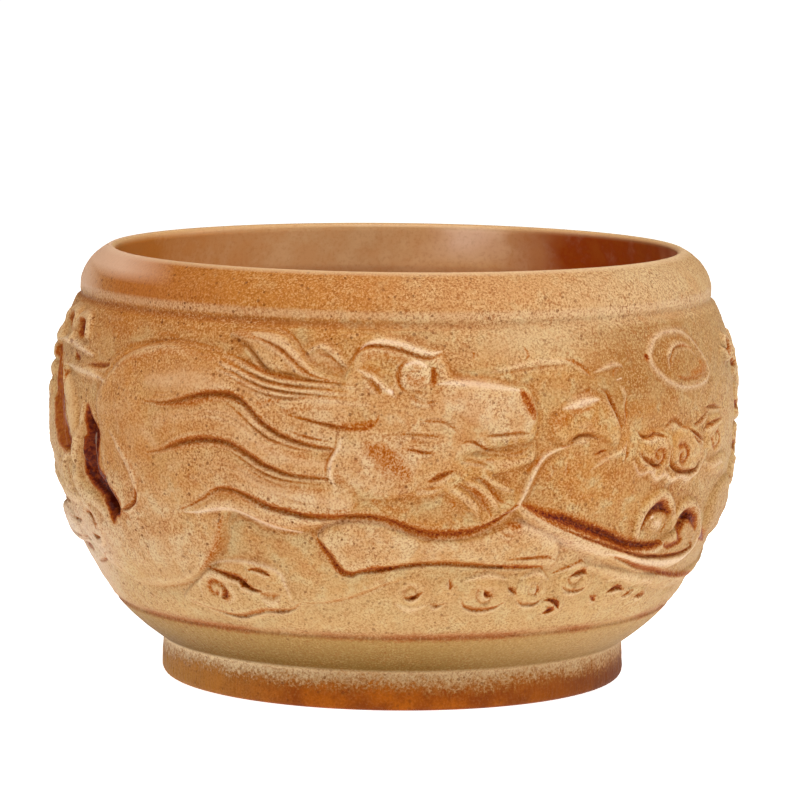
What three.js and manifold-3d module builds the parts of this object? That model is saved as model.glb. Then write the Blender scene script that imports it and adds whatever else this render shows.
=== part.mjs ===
// A round ceramic tea cup, fired as one piece of clay: a closed-in bowl on a foot ring, with a
// collar below its lip, and a dragon among clouds and waves in low relief around its belly.
// Millimetres, +Z up. The origin is on the table, under the centre of the foot. Around the
// cup, 0 degrees is the front (-Y), and degrees grow towards +X.

import * as THREE from 'three';
import { mergeVertices } from 'three/addons/utils/BufferGeometryUtils.js';
import Module from 'manifold-3d';

// Bowl
const CUP_HEIGHT = 55;
const BELLY_RADIUS = 43.5;
const BELLY_Z = 34.5;
const LOWER_FULLNESS = 2.25;
const UPPER_FULLNESS = 2.6;
const SHOULDER_RADIUS = 40.7; // where the belly meets the groove under the collar
const WALL = 3.8;
const FLOOR_THICKNESS = 5;
const FLOOR_RADIUS = 24;
const WELL_CORNER_HEIGHT = 6.5;
const WELL_CORNER_SLOPE = 2.2;

// Foot ring and the underside above it
const FOOT_RADIUS = 29.7;
const FOOT_HEIGHT = 5;
const FOOT_EDGE = 1.1;
const FOOT_RING_WIDTH = 3.2;
const RECESS_DEPTH = 2.5;
const RECESS_SLOPE = 1.2;
const UNDERSIDE_FLARE = 0.45; // how far its middle stands out past a straight cone

// Cut line at the foot of the carving
const LINE_Z = 10.4;
const LINE_RADIUS = 35.9;
const LINE_WIDTH = 0.9;
const LINE_DEPTH = 0.35;

// Collar and lip
const COLLAR_Z = 48.9;
const COLLAR_RADIUS = 40.4;
const COLLAR_ROLL = 1.7; // how far above the groove the collar starts to turn in
const COLLAR_TURN_IN = 0.6;
const COLLAR_TURN_DROP = 1.5;
const GROOVE_WIDTH = 1;
const GROOVE_DEPTH = 0.5;
const LIP_RADIUS = 36.8;
const LIP_WIDTH = 0.8;
const LIP_DROP = 0.6;

// Relief. The strokes below are drawn on a band between these heights, and the band is
// stretched to lie between the cut line and the groove under the collar.
const DRAWN_BOTTOM = 10.4;
const DRAWN_TOP = 48.9;
const RELIEF_ROOT = 1.3;
const BODY_RELIEF = 1.3;
const HEAD_RELIEF = 1.1;
const MANE_RELIEF = 1.2;
const CLOUD_RELIEF = 1;
const WAVE_RELIEF = 1.1;
const FINE_RELIEF = 0.9;

// The row of breaking waves on the far side, in degrees
const BREAKERS = 7;
const BREAKERS_FROM = 104;
const BREAKERS_STEP = 22;

const BOWL_SEGMENTS = 60;
const MM_PER_DEGREE = BELLY_RADIUS * Math.PI / 180;

// Radius of the bare belly at a height between the foot and the collar.
function bellyRadius(z) {
  if (z < LINE_Z) {
    const up = (z - FOOT_HEIGHT) / (LINE_Z - FOOT_HEIGHT);
    return FOOT_RADIUS + (LINE_RADIUS - FOOT_RADIUS) * up + UNDERSIDE_FLARE * 4 * up * (1 - up);
  }
  if (z < BELLY_Z) {
    const down = (BELLY_Z - z) / (BELLY_Z - LINE_Z);
    return BELLY_RADIUS - (BELLY_RADIUS - LINE_RADIUS) * down ** LOWER_FULLNESS;
  }
  const up = (z - BELLY_Z) / (COLLAR_Z - BELLY_Z);
  return BELLY_RADIUS - (BELLY_RADIUS - SHOULDER_RADIUS) * up ** UPPER_FULLNESS;
}

// Heights from low to high, both ends included, in equal steps.
function heights(low, high, steps) {
  return Array.from({ length: steps + 1 }, (_, i) => low + (high - low) * i / steps);
}

function rounded(from, corner, to, steps) {
  const curve = new THREE.QuadraticBezierCurve(
    new THREE.Vector2(...from), new THREE.Vector2(...corner), new THREE.Vector2(...to));
  return curve.getPoints(steps);
}

// The bowl's closed profile, from the axis under the cup round to the axis inside it.
function bowlProfile() {
  const footInside = FOOT_RADIUS - FOOT_EDGE - FOOT_RING_WIDTH;
  const floorZ = RECESS_DEPTH + FLOOR_THICKNESS;
  const cornerZ = floorZ + WELL_CORNER_HEIGHT;
  const cornerRadius = bellyRadius(cornerZ) - WALL;
  const innerLipRadius = LIP_RADIUS - LIP_WIDTH;
  const innerLipZ = CUP_HEIGHT - LIP_DROP;
  const onBelly = (z) => new THREE.Vector2(bellyRadius(z), z);
  const onWell = (z) => new THREE.Vector2(bellyRadius(z) - WALL, z);
  const lineLow = LINE_Z - LINE_WIDTH / 2;
  const lineHigh = LINE_Z + LINE_WIDTH / 2;
  return [
    new THREE.Vector2(0, RECESS_DEPTH),
    new THREE.Vector2(footInside - RECESS_SLOPE, RECESS_DEPTH),
    new THREE.Vector2(footInside, 0),
    ...rounded([FOOT_RADIUS - FOOT_EDGE, 0], [FOOT_RADIUS, 0], [FOOT_RADIUS, FOOT_EDGE], 2),
    ...heights(FOOT_HEIGHT, lineLow, 3).map(onBelly),
    new THREE.Vector2(LINE_RADIUS - LINE_DEPTH, LINE_Z),
    ...heights(lineHigh, COLLAR_Z - GROOVE_WIDTH / 2, 8).map(onBelly),
    new THREE.Vector2(COLLAR_RADIUS - GROOVE_DEPTH, COLLAR_Z),
    new THREE.Vector2(COLLAR_RADIUS, COLLAR_Z + GROOVE_WIDTH / 2),
    ...rounded([COLLAR_RADIUS, COLLAR_Z + COLLAR_ROLL],
      [COLLAR_RADIUS - COLLAR_TURN_IN, CUP_HEIGHT - COLLAR_TURN_DROP],
      [LIP_RADIUS, CUP_HEIGHT], 4),
    ...rounded([LIP_RADIUS, CUP_HEIGHT], [innerLipRadius, CUP_HEIGHT],
      [innerLipRadius, innerLipZ], 2).slice(1),
    ...heights(cornerZ, COLLAR_Z, 5).reverse().map(onWell),
    ...rounded([cornerRadius, cornerZ], [cornerRadius - WELL_CORNER_SLOPE, floorZ],
      [FLOOR_RADIUS, floorZ], 3).slice(1),
    new THREE.Vector2(0, floorZ),
  ];
}

const wasm = await Module();
wasm.setup();

function solidOf(geometry) {
  geometry.deleteAttribute('normal');
  geometry.deleteAttribute('uv');
  const merged = mergeVertices(geometry);
  return new wasm.Manifold(new wasm.Mesh({
    numProp: 3,
    vertProperties: new Float32Array(merged.attributes.position.array),
    triVerts: new Uint32Array(merged.index.array),
  }));
}

function bowl() {
  const geometry = new THREE.LatheGeometry(bowlProfile(), BOWL_SEGMENTS);
  geometry.rotateX(Math.PI / 2);
  return solidOf(geometry);
}

// A point of the drawing, x mm round from the front, at a drawn height, lifted off the belly.
function onCup(x, drawn, lift) {
  const z = LINE_Z + (drawn - DRAWN_BOTTOM) * (COLLAR_Z - LINE_Z) / (DRAWN_TOP - DRAWN_BOTTOM);
  const angle = THREE.MathUtils.degToRad(x / MM_PER_DEGREE);
  const radius = bellyRadius(z) + lift;
  return new THREE.Vector3(radius * Math.sin(angle), -radius * Math.cos(angle), z);
}

// A closed skin over rings of points that all have the same count, with a cap at each end.
function skin(rings, capped = true) {
  const count = rings[0].length;
  const positions = rings.flat().flatMap((p) => [p.x, p.y, p.z]);
  const indices = [];
  const spans = capped ? rings.length - 1 : rings.length;
  for (let i = 0; i < spans; i++) {
    const here = i * count;
    const next = ((i + 1) % rings.length) * count;
    for (let k = 0; k < count; k++) {
      const l = (k + 1) % count;
      indices.push(here + k, here + l, next + k, here + l, next + l, next + k);
    }
  }
  if (capped) {
    const last = (rings.length - 1) * count;
    for (let k = 1; k < count - 1; k++) {
      indices.push(0, k + 1, k, last, last + k, last + k + 1);
    }
  }
  const geometry = new THREE.BufferGeometry();
  geometry.setAttribute('position', new THREE.Float32BufferAttribute(positions, 3));
  geometry.setIndex(indices);
  return solidOf(geometry);
}

// A rounded ridge along a stroke of [degrees, height, half width] points. Its section is a
// low arch whose feet are sunk in the wall, and it is lower where it is narrower.
function ridge(stroke, relief, steps, closed = false) {
  const curve = new THREE.CatmullRomCurve3(
    stroke.map(([degrees, z, half]) => new THREE.Vector3(degrees * MM_PER_DEGREE, z, half)),
    closed, 'centripetal');
  const widest = Math.max(...stroke.map(([, , half]) => half));
  const arch = widest > 3 ? 4 : widest > 1.05 ? 3 : 2;
  const rings = [];
  const count = closed ? steps : steps + 1;
  for (let i = 0; i < count; i++) {
    const at = curve.getPoint(i / steps);
    const ahead = curve.getTangent(i / steps);
    const length = Math.hypot(ahead.x, ahead.y);
    const side = { x: -ahead.y / length, y: ahead.x / length };
    const lift = relief * Math.sqrt(at.z / widest) / Math.sin(Math.PI * Math.floor(arch / 2) / arch);
    rings.push(Array.from({ length: arch + 1 }, (_, k) => {
      const turn = Math.PI * k / arch;
      const across = at.z * Math.cos(turn);
      const up = k === 0 || k === arch ? -RELIEF_ROOT : lift * Math.sin(turn);
      return onCup(at.x + side.x * across, at.y + side.y * across, up);
    }));
  }
  return skin(rings, !closed);
}

// A domed pad inside an outline of [degrees, height] points, listed anticlockwise.
function pad(outline, relief, points = outline.length * 2) {
  const curve = new THREE.CatmullRomCurve3(
    outline.map(([degrees, z]) => new THREE.Vector3(degrees * MM_PER_DEGREE, z, 0)),
    true, 'centripetal');
  const rim = Array.from({ length: points }, (_, i) => curve.getPoint(i / points));
  const middle = rim.reduce((sum, p) => sum.add(p), new THREE.Vector3()).divideScalar(points);
  const rings = [[1, -RELIEF_ROOT], [0.94, 0.6 * relief], [0.6, 0.95 * relief], [0.1, relief]];
  return skin(rings.map(([share, lift]) => rim.map((p) => onCup(
    middle.x + (p.x - middle.x) * share, middle.y + (p.y - middle.y) * share, lift))));
}

// The points of a scroll: a spiral that winds in towards its centre.
function scroll(degrees, z, radius, turns, start, half, hand = 1) {
  const count = Math.ceil(turns * 7);
  return Array.from({ length: count + 1 }, (_, i) => {
    const share = i / count;
    const turn = THREE.MathUtils.degToRad(start) + hand * share * turns * 2 * Math.PI;
    const reach = radius * (1 - 0.78 * share);
    return [
      degrees + reach * Math.cos(turn) / MM_PER_DEGREE,
      z + reach * Math.sin(turn),
      half * (1 - 0.35 * share),
    ];
  });
}

// The dragon's body and mane, from the head back to the tail on the far side.
function dragonBody() {
  const neck = [[-22, 42, 2.4], [-33, 41.5, 4], [-42, 38, 6], [-42, 31, 7], [-37, 24.5, 6.5],
    [-35, 21, 4.5]];
  const coil = [[-31, 24, 3], [-37, 20.5, 5], [-46, 19.3, 4.8], [-56, 20, 4.4], [-66, 23, 4.4],
    [-76, 29, 4.8], [-90, 34, 5], [-106, 32, 5], [-120, 26, 5], [-136, 22.5, 5],
    [-152, 27, 4.8], [-166, 34, 4.6], [-180, 37, 4.4], [-194, 34, 4.2], [-208, 28, 3.9],
    [-222, 24.5, 3.5], [-236, 27, 2.9], [-248, 31.5, 2.2], [-257, 36, 1.5], [-264, 39, 0.5]];
  const locks = [
    [[-44.5, 39, 0.4], [-38, 40, 1], [-31, 41.5, 1.5], [-25, 41.5, 1.6], [-19, 39.2, 1.7],
      [-13, 37.2, 1.7], [-7, 36.4, 1.2]],
    [[-43.5, 33, 0.4], [-37, 35, 1.2], [-31, 36.7, 1.7], [-25, 36.5, 2], [-19, 34.4, 1.9],
      [-12, 32.8, 1.6], [-7, 32.2, 1]],
    [[-36, 26.6, 0.4], [-31, 29.1, 1.3], [-27, 30.9, 1.8], [-21, 29.8, 2.1], [-14, 28.4, 1.9],
      [-6, 28.1, 1.6], [2, 27, 1.1]],
    [[-36, 24.3, 0.4], [-30, 24.8, 0.8], [-25, 26.2, 1.2], [-19, 25.2, 1.1], [-13, 24.8, 0.9],
      [-7, 24.8, 0.5]],
  ];
  return [
    ridge(neck, BODY_RELIEF, 12),
    ridge(coil, BODY_RELIEF, 38),
    ...locks.map((lock) => ridge(lock, MANE_RELIEF, 12)),
  ];
}

function dragonHead() {
  const skull = [[-10, 34], [-9, 30.5], [-3, 29], [4, 29.8], [9, 33.6], [14, 35.4], [21, 36],
    [22.6, 38.5], [21, 41.2], [14, 42.2], [8, 43.6], [4, 46.2], [-3, 46.6], [-7, 44],
    [-13, 41.4], [-12, 37.5]];
  const jaw = [[-3, 30.5, 1.6], [4, 31.2, 2], [10, 32.4, 1.6], [16, 33.9, 1.2], [22, 34.2, 0.6]];
  const brow = [[-7.5, 42.5, 0.5], [-6.3, 45.2, 0.8], [-2.5, 46.7, 1], [3, 46.5, 0.9],
    [7, 45.4, 0.7], [9, 43.8, 0.4]];
  const horns = [
    [[-30, 46.6, 0.4], [-24, 47.3, 1], [-18, 46.2, 1.1], [-12, 44, 1], [-6, 42.9, 0.7]],
    [[-30, 43.9, 0.4], [-24, 44.3, 1], [-17, 43, 1.1], [-10, 41.6, 1], [-4, 41.4, 0.7]],
  ];
  const ear = [[-18, 40.3, 0.4], [-12, 38.9, 1.1], [-6, 38, 1], [-1.5, 38.2, 0.5]];
  const throat = [[9, 31, 0.5], [12.5, 29.6, 0.9], [15, 27.8, 0.9], [18, 26.9, 0.8],
    [21, 28.3, 0.7], [22.6, 31, 0.6], [25, 33.6, 0.5], [29, 34.6, 0.3]];
  const eye = ring(3, 43.2, 1.5, 1.5, 6);
  const nose = [[17.5, 40.6], [18, 38], [20.5, 37.2], [22.4, 38.4], [22, 41], [19.8, 41.8]];
  return [
    pad(skull, HEAD_RELIEF, 24),
    pad(eye, HEAD_RELIEF + 0.7, 10),
    pad(nose, HEAD_RELIEF + 0.5, 10),
    ridge(jaw, MANE_RELIEF, 8),
    ridge(brow, HEAD_RELIEF + 0.6, 10),
    ...horns.map((horn) => ridge(horn, MANE_RELIEF, 8)),
    ridge(ear, MANE_RELIEF + 0.2, 7),
    ridge(throat, FINE_RELIEF, 13),
  ];
}

// The points of an oval outline, listed anticlockwise.
function ring(degrees, z, acrossRadius, upRadius, count) {
  return Array.from({ length: count }, (_, i) => {
    const turn = i * 2 * Math.PI / count;
    return [degrees + acrossRadius * Math.cos(turn) / MM_PER_DEGREE, z + upRadius * Math.sin(turn)];
  });
}

function waves() {
  const rock = [[-12.5, 23.4, 0.5], [-9, 22.8, 1.9], [-2, 22.5, 2.3], [6, 22.2, 1.9],
    [14, 22, 1.3], [22, 21, 0.9], [28, 20.4, 0.4]];
  const crest = [[20, 26.6, 0.5], [28, 24.2, 1], [36, 21.8, 1.3], [45, 19.6, 1.4],
    [55, 18.8, 1.3], [64, 19.8, 0.9], [66, 22, 0.5]];
  const swell = [[34, 19.2, 0.4], [44, 17.4, 0.9], [56, 15.8, 1], [68, 14.9, 1], [82, 15.4, 0.8],
    [92, 17, 0.4]];
  return [
    ridge(rock, WAVE_RELIEF, 10),
    ridge(crest, WAVE_RELIEF, 11),
    ridge(swell, FINE_RELIEF, 9),
    ridge(scroll(48.4, 23.7, 2.3, 1, 250, 0.8, -1), WAVE_RELIEF, 9),
    ridge(scroll(58, 22.9, 2.5, 1, 250, 0.9, -1), WAVE_RELIEF, 9),
  ];
}

function clouds() {
  const lowLeft = [[-41, 14.5], [-37, 13], [-30, 12.4], [-22, 13.3], [-17.5, 15], [-19, 18.4],
    [-24, 19.8], [-29, 19.5], [-34, 18.2]];
  const pearl = ring(55.5, 43.5, 6.2, 3.3, 10).map(([degrees, z]) => [degrees, z, 0.55]);
  const flame = [[26, 36.6, 0.4], [30, 38.6, 1.2], [34, 39.4, 1.6], [37.6, 37.8, 1.3],
    [38.6, 35, 0.8], [36, 33.4, 0.4]];
  const nostrilPlume = [[21, 43, 0.4], [25, 43.9, 0.7], [30, 43.2, 0.7], [34, 41.8, 0.4]];
  const scrolls = [
    [-33, 15.8, 1.7, 1.2, 20, 0.55, 1], [3.6, 16.4, 1.5, 1, 200, 0.5, -1],
    [16.4, 16, 2.1, 1.2, 150, 0.6, 1], [25.5, 16.6, 1.7, 1, 30, 0.5, -1],
    [33, 17.6, 1.8, 1.1, 160, 0.5, 1], [44, 14.2, 1.3, 1, 160, 0.4, 1],
    [47.3, 32.8, 2.1, 1.2, 200, 0.6, 1], [53.8, 32, 2.4, 1.3, 180, 0.65, -1],
    [66, 33.4, 2, 1.2, 180, 0.55, 1],
  ];
  return [
    pad(lowLeft, CLOUD_RELIEF, 16),
    pad(ring(55.5, 43.4, 3.4, 1.6, 8), FINE_RELIEF, 10),
    ridge(pearl, FINE_RELIEF, 16, true),
    ridge(flame, CLOUD_RELIEF, 9),
    ridge(nostrilPlume, FINE_RELIEF, 6),
    ...scrolls.map((one) => ridge(scroll(...one), CLOUD_RELIEF, Math.ceil(one[3] * 8))),
  ];
}

// The far side: two clawed legs, the tail's tuft, clouds above and below the body, and a row
// of breaking waves along the foot of the carving.
function farSide() {
  const legs = [
    [[-120, 30, 3], [-128, 35, 2.8], [-137, 39.5, 2], [-141, 41, 1.2]],
    [[-172, 33, 3], [-176, 26.5, 2.6], [-183, 21.5, 1.9], [-187, 19.8, 1.2]],
  ];
  const claws = [
    [[-139, 41, 1], [-143, 44.3, 0.9], [-147, 45, 0.3]],
    [[-139, 40.6, 1], [-146, 41.6, 0.9], [-150.5, 40, 0.3]],
    [[-139, 40, 1], [-143.5, 37.4, 0.9], [-147, 34.8, 0.3]],
    [[-186, 20.2, 1], [-190, 23.4, 0.9], [-194, 23.6, 0.3]],
    [[-186, 19.8, 1], [-192.5, 19.6, 0.9], [-196.5, 17.6, 0.3]],
    [[-186, 19.2, 1], [-188, 16.2, 0.9], [-191, 14, 0.3]],
  ];
  const tuft = [
    [[102, 36, 1], [96, 40, 1.2], [92, 44.5, 0.3]],
    [[102, 36, 1], [93, 37.5, 1.3], [86, 41, 0.3]],
    [[102, 35.5, 1], [94, 33.6, 1.2], [86.5, 34.6, 0.3]],
  ];
  const scrolls = [
    [-96, 22.5, 2.3, 1.1, 200, 0.7, 1], [-104, 20, 2, 1.1, 330, 0.6, -1],
    [-158, 20, 2.2, 1.1, 200, 0.7, 1], [-118, 43.5, 2.2, 1.1, 200, 0.7, -1],
    [-196, 43.5, 2.2, 1.1, 330, 0.7, 1], [-205, 41.5, 2, 1.1, 200, 0.6, -1],
    [130, 36.5, 2.3, 1.1, 200, 0.7, 1], [122, 38.5, 2, 1.1, 330, 0.6, -1],
    [76, 44, 2, 1.1, 200, 0.6, 1], [84, 27.5, 2.3, 1.1, 330, 0.7, -1],
  ];
  const breakers = Array.from({ length: BREAKERS }, (_, i) => {
    const degrees = BREAKERS_FROM + i * BREAKERS_STEP;
    return [[degrees - 9, 13.4, 0.4], [degrees - 4, 13.8, 1], [degrees, 15.6, 1],
      [degrees + 3, 17.6, 0.8], [degrees + 5.6, 17, 0.6], [degrees + 5, 15.4, 0.3]];
  });
  return [
    ...legs.map((leg) => ridge(leg, BODY_RELIEF, 5)),
    ...claws.map((claw) => ridge(claw, CLOUD_RELIEF, 4)),
    ...tuft.map((hair) => ridge(hair, MANE_RELIEF, 4)),
    ...scrolls.map((one) => ridge(scroll(...one), CLOUD_RELIEF, 7)),
    ...breakers.map((crest) => ridge(crest, WAVE_RELIEF, 6)),
  ];
}

function cup() {
  const carving = [...dragonBody(), ...dragonHead(), ...waves(), ...clouds(), ...farSide()];
  const fired = carving.reduce((clay, form) => clay.add(form), bowl());
  const { numProp, vertProperties, triVerts } = fired.getMesh();
  const geometry = new THREE.BufferGeometry();
  geometry.setAttribute('position', new THREE.BufferAttribute(vertProperties, numProp));
  geometry.setIndex(new THREE.BufferAttribute(triVerts, 1));
  geometry.computeVertexNormals();
  const glaze = new THREE.MeshStandardMaterial({ color: 0xc9975f, roughness: 0.55, metalness: 0 });
  const mesh = new THREE.Mesh(geometry, glaze);
  mesh.name = 'cup_body';
  return mesh;
}

const teaCup = new THREE.Group();
teaCup.add(cup());

export default teaCup;
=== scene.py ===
import math

import bpy
import numpy as np
from mathutils import Matrix, Vector


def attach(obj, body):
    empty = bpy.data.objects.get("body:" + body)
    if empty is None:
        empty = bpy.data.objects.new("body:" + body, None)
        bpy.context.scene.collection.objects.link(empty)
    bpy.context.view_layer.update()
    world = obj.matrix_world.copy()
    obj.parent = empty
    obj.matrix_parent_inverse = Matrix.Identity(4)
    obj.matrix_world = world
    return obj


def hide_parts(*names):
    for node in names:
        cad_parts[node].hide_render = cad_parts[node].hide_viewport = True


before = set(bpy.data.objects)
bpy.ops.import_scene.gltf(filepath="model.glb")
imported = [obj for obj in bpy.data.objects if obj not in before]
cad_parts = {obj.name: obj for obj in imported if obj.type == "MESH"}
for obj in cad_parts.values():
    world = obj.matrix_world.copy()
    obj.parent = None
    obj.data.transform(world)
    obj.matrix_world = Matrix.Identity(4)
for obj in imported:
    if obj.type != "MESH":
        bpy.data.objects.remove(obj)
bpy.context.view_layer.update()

# Sizes of the cup in millimetres. They are those of the solid that this model stands for, apart
# from the groove under the collar, which is shallower here because the photo shows it faint.
CUP_HEIGHT = 55.0
BELLY_RADIUS = 43.5
BELLY_Z = 34.5
LOWER_FULLNESS = 2.25
UPPER_FULLNESS = 2.6
SHOULDER_RADIUS = 40.7
WALL = 3.8
FLOOR_THICKNESS = 5.0
FLOOR_RADIUS = 24.0
WELL_CORNER_HEIGHT = 6.5
WELL_CORNER_SLOPE = 2.2
FOOT_RADIUS = 29.7
FOOT_HEIGHT = 5.0
FOOT_EDGE = 1.1
FOOT_TAPER = 0.15
FOOT_RING_WIDTH = 3.2
CREASE = 0.35  # size of the rounded corner between the foot and the underside
RECESS_DEPTH = 2.5
RECESS_SLOPE = 1.2
UNDERSIDE_FLARE = 0.45
LINE_Z = 10.4
LINE_RADIUS = 35.9
LINE_WIDTH = 0.9
LINE_DEPTH = 0.35
COLLAR_Z = 48.9
COLLAR_RADIUS = 40.4
COLLAR_ROLL = 1.7
COLLAR_TURN_IN = 0.6
COLLAR_TURN_DROP = 1.5
GROOVE_WIDTH = 1.0
GROOVE_DEPTH = 0.3
LIP_RADIUS = 36.8
LIP_WIDTH = 0.8
LIP_DROP = 0.6
MM_PER_DEGREE = BELLY_RADIUS * math.pi / 180

# How the carving is finished, in millimetres.
CUT_CORE = 0.62  # the share of a groove's half width that its deep part takes
FREE_LIFT = 0.75  # the carving stands off the belly freely up to here, and is pressed above it
MOST_LIFT = 1.3
DEEPEST = 0.9
FADE = 0.7  # the carving dies out over this height at the cut line and at the collar groove
DENTS = (20, 7, 0.05), (7, 4, 0.035), (3, 2, 0.02)  # cells across, cells up, height
CREST_BLUR, CREST_LIFT = 5, 0.18  # an edge stands out this far from what lies near it
VEIL_BLUR, VEIL_DEPTH, VEIL_EDGE = 16, 0.25, 0.12  # broad hollows, and cuts left out of them

# The mesh: points round the cup, and rows up the carved band.
COLUMNS = 1920
BAND_ROWS = 290
SMOOTH_ROWS = 3  # rows of the lip, next to the well, that have no grain
INNER_ROWS = 6  # rows of the lip, next to the well, that have the inner glaze
GRAIN = 0.018  # roughness of the clay in mm
STANDING = 0.05  # up to this height the foot has no grain, so that the cup stands flat
LAYERS = "stain", "pale", "smooth", "lift", "crest", "veil"


def belly_radius(z):
    """Radius of the bare belly at the heights z, between the foot and the collar."""
    z = np.asarray(z, float)
    rise = (z - FOOT_HEIGHT) / (LINE_Z - FOOT_HEIGHT)
    flare = UNDERSIDE_FLARE * 4 * rise * (1 - rise)
    under = FOOT_RADIUS + (LINE_RADIUS - FOOT_RADIUS) * rise + flare
    down = np.clip((BELLY_Z - z) / (BELLY_Z - LINE_Z), 0, 1)
    lower = BELLY_RADIUS - (BELLY_RADIUS - LINE_RADIUS) * down**LOWER_FULLNESS
    up = np.clip((z - BELLY_Z) / (COLLAR_Z - BELLY_Z), 0, None)
    upper = BELLY_RADIUS - (BELLY_RADIUS - SHOULDER_RADIUS) * up**UPPER_FULLNESS
    return np.where(z < LINE_Z, under, np.where(z < BELLY_Z, lower, upper))


def smooth_line(points, steps=6, closed=False):
    """Rows of (x mm, z mm, half width mm) on a smooth curve through (degrees, z, half width)."""
    knots = np.array([(d * MM_PER_DEGREE, *rest) for d, *rest in points], float)
    if closed:
        ends = knots[-1:], knots[:2]
    else:
        ends = 2 * knots[:1] - knots[1:2], 2 * knots[-1:] - knots[-2:-1]
    p = np.concatenate([ends[0], knots, ends[1]])
    rows = []
    for a, b, c, d in zip(p, p[1:], p[2:], p[3:]):
        for t in np.arange(steps) / steps:
            rows.append(
                0.5 * (2 * b + (c - a) * t + (2 * a - 5 * b + 4 * c - d) * t**2
                       + (3 * b - a - 3 * c + d) * t**3)
            )
    rows.append(rows[0] if closed else knots[-1])
    return np.array(rows)


def to_segment(px, pz, start, end):
    """How far along a segment each point's nearest place is, and the way from there in x and z."""
    dx, dz = end[0] - start[0], end[1] - start[1]
    share = ((px - start[0]) * dx + (pz - start[1]) * dz) / (dx * dx + dz * dz + 1e-12)
    share = np.clip(share, 0, 1)
    return share, px - start[0] - share * dx, pz - start[1] - share * dz


def spiral(degrees, z, radius, turns, start, half, hand=1, inner=0.2):
    """Stroke points of a scroll that winds in to its centre."""
    count = math.ceil(turns * 8)
    points = []
    for i in range(count + 1):
        share = i / count
        turn = math.radians(start) + hand * share * turns * 2 * math.pi
        reach = radius * (1 - (1 - inner) * share)
        points.append((degrees + reach * math.cos(turn) / MM_PER_DEGREE,
                       z + reach * math.sin(turn), half * (1 - 0.3 * share)))
    return points


def blurred(field, across, up):
    """The field smoothed over that many cells; it joins up with itself round the cup."""
    for axis, reach in ((1, across), (0, up)):
        span = np.arange(-3 * reach, 3 * reach + 1)
        weights = np.exp(-0.5 * (span / reach) ** 2)
        weights /= weights.sum()
        pad = [(0, 0), (0, 0)]
        pad[axis] = (3 * reach, 3 * reach)
        wide = np.pad(field, pad, mode="wrap" if axis == 1 else "edge")
        total = np.zeros_like(field)
        for k, weight in enumerate(weights):
            total += weight * (wide[:, k:k + field.shape[1]] if axis == 1
                               else wide[k:k + field.shape[0]])
        field = total
    return field


def softened(field):
    """The field with each cell averaged a little with the cells next to it."""
    field = 0.5 * field + 0.25 * (np.roll(field, 1, 1) + np.roll(field, -1, 1))
    padded = np.pad(field, ((1, 1), (0, 0)), mode="edge")
    return 0.5 * field + 0.25 * (padded[:-2] + padded[2:])


def tapered(points, half, start=0.25, end=0.25):
    """(degrees, z) points given a half width that shrinks towards both ends of the stroke."""
    last = len(points) - 1
    rows = []
    for i, (degrees, z) in enumerate(points):
        share = i / last
        lead = min(1.0, start + (1 - start) * share / 0.3)
        tail = min(1.0, end + (1 - end) * (1 - share) / 0.3)
        rows.append((degrees, z, half * min(lead, tail)))
    return rows


def evened(points, half, up=0.0):
    """The points with one half width all along, raised by up mm."""
    return [(p[0], p[1] + up, half) for p in points]


def shifted(points, degrees=0.0, z=0.0):
    return [(p[0] + degrees, p[1] + z, *p[2:]) for p in points]


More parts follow.
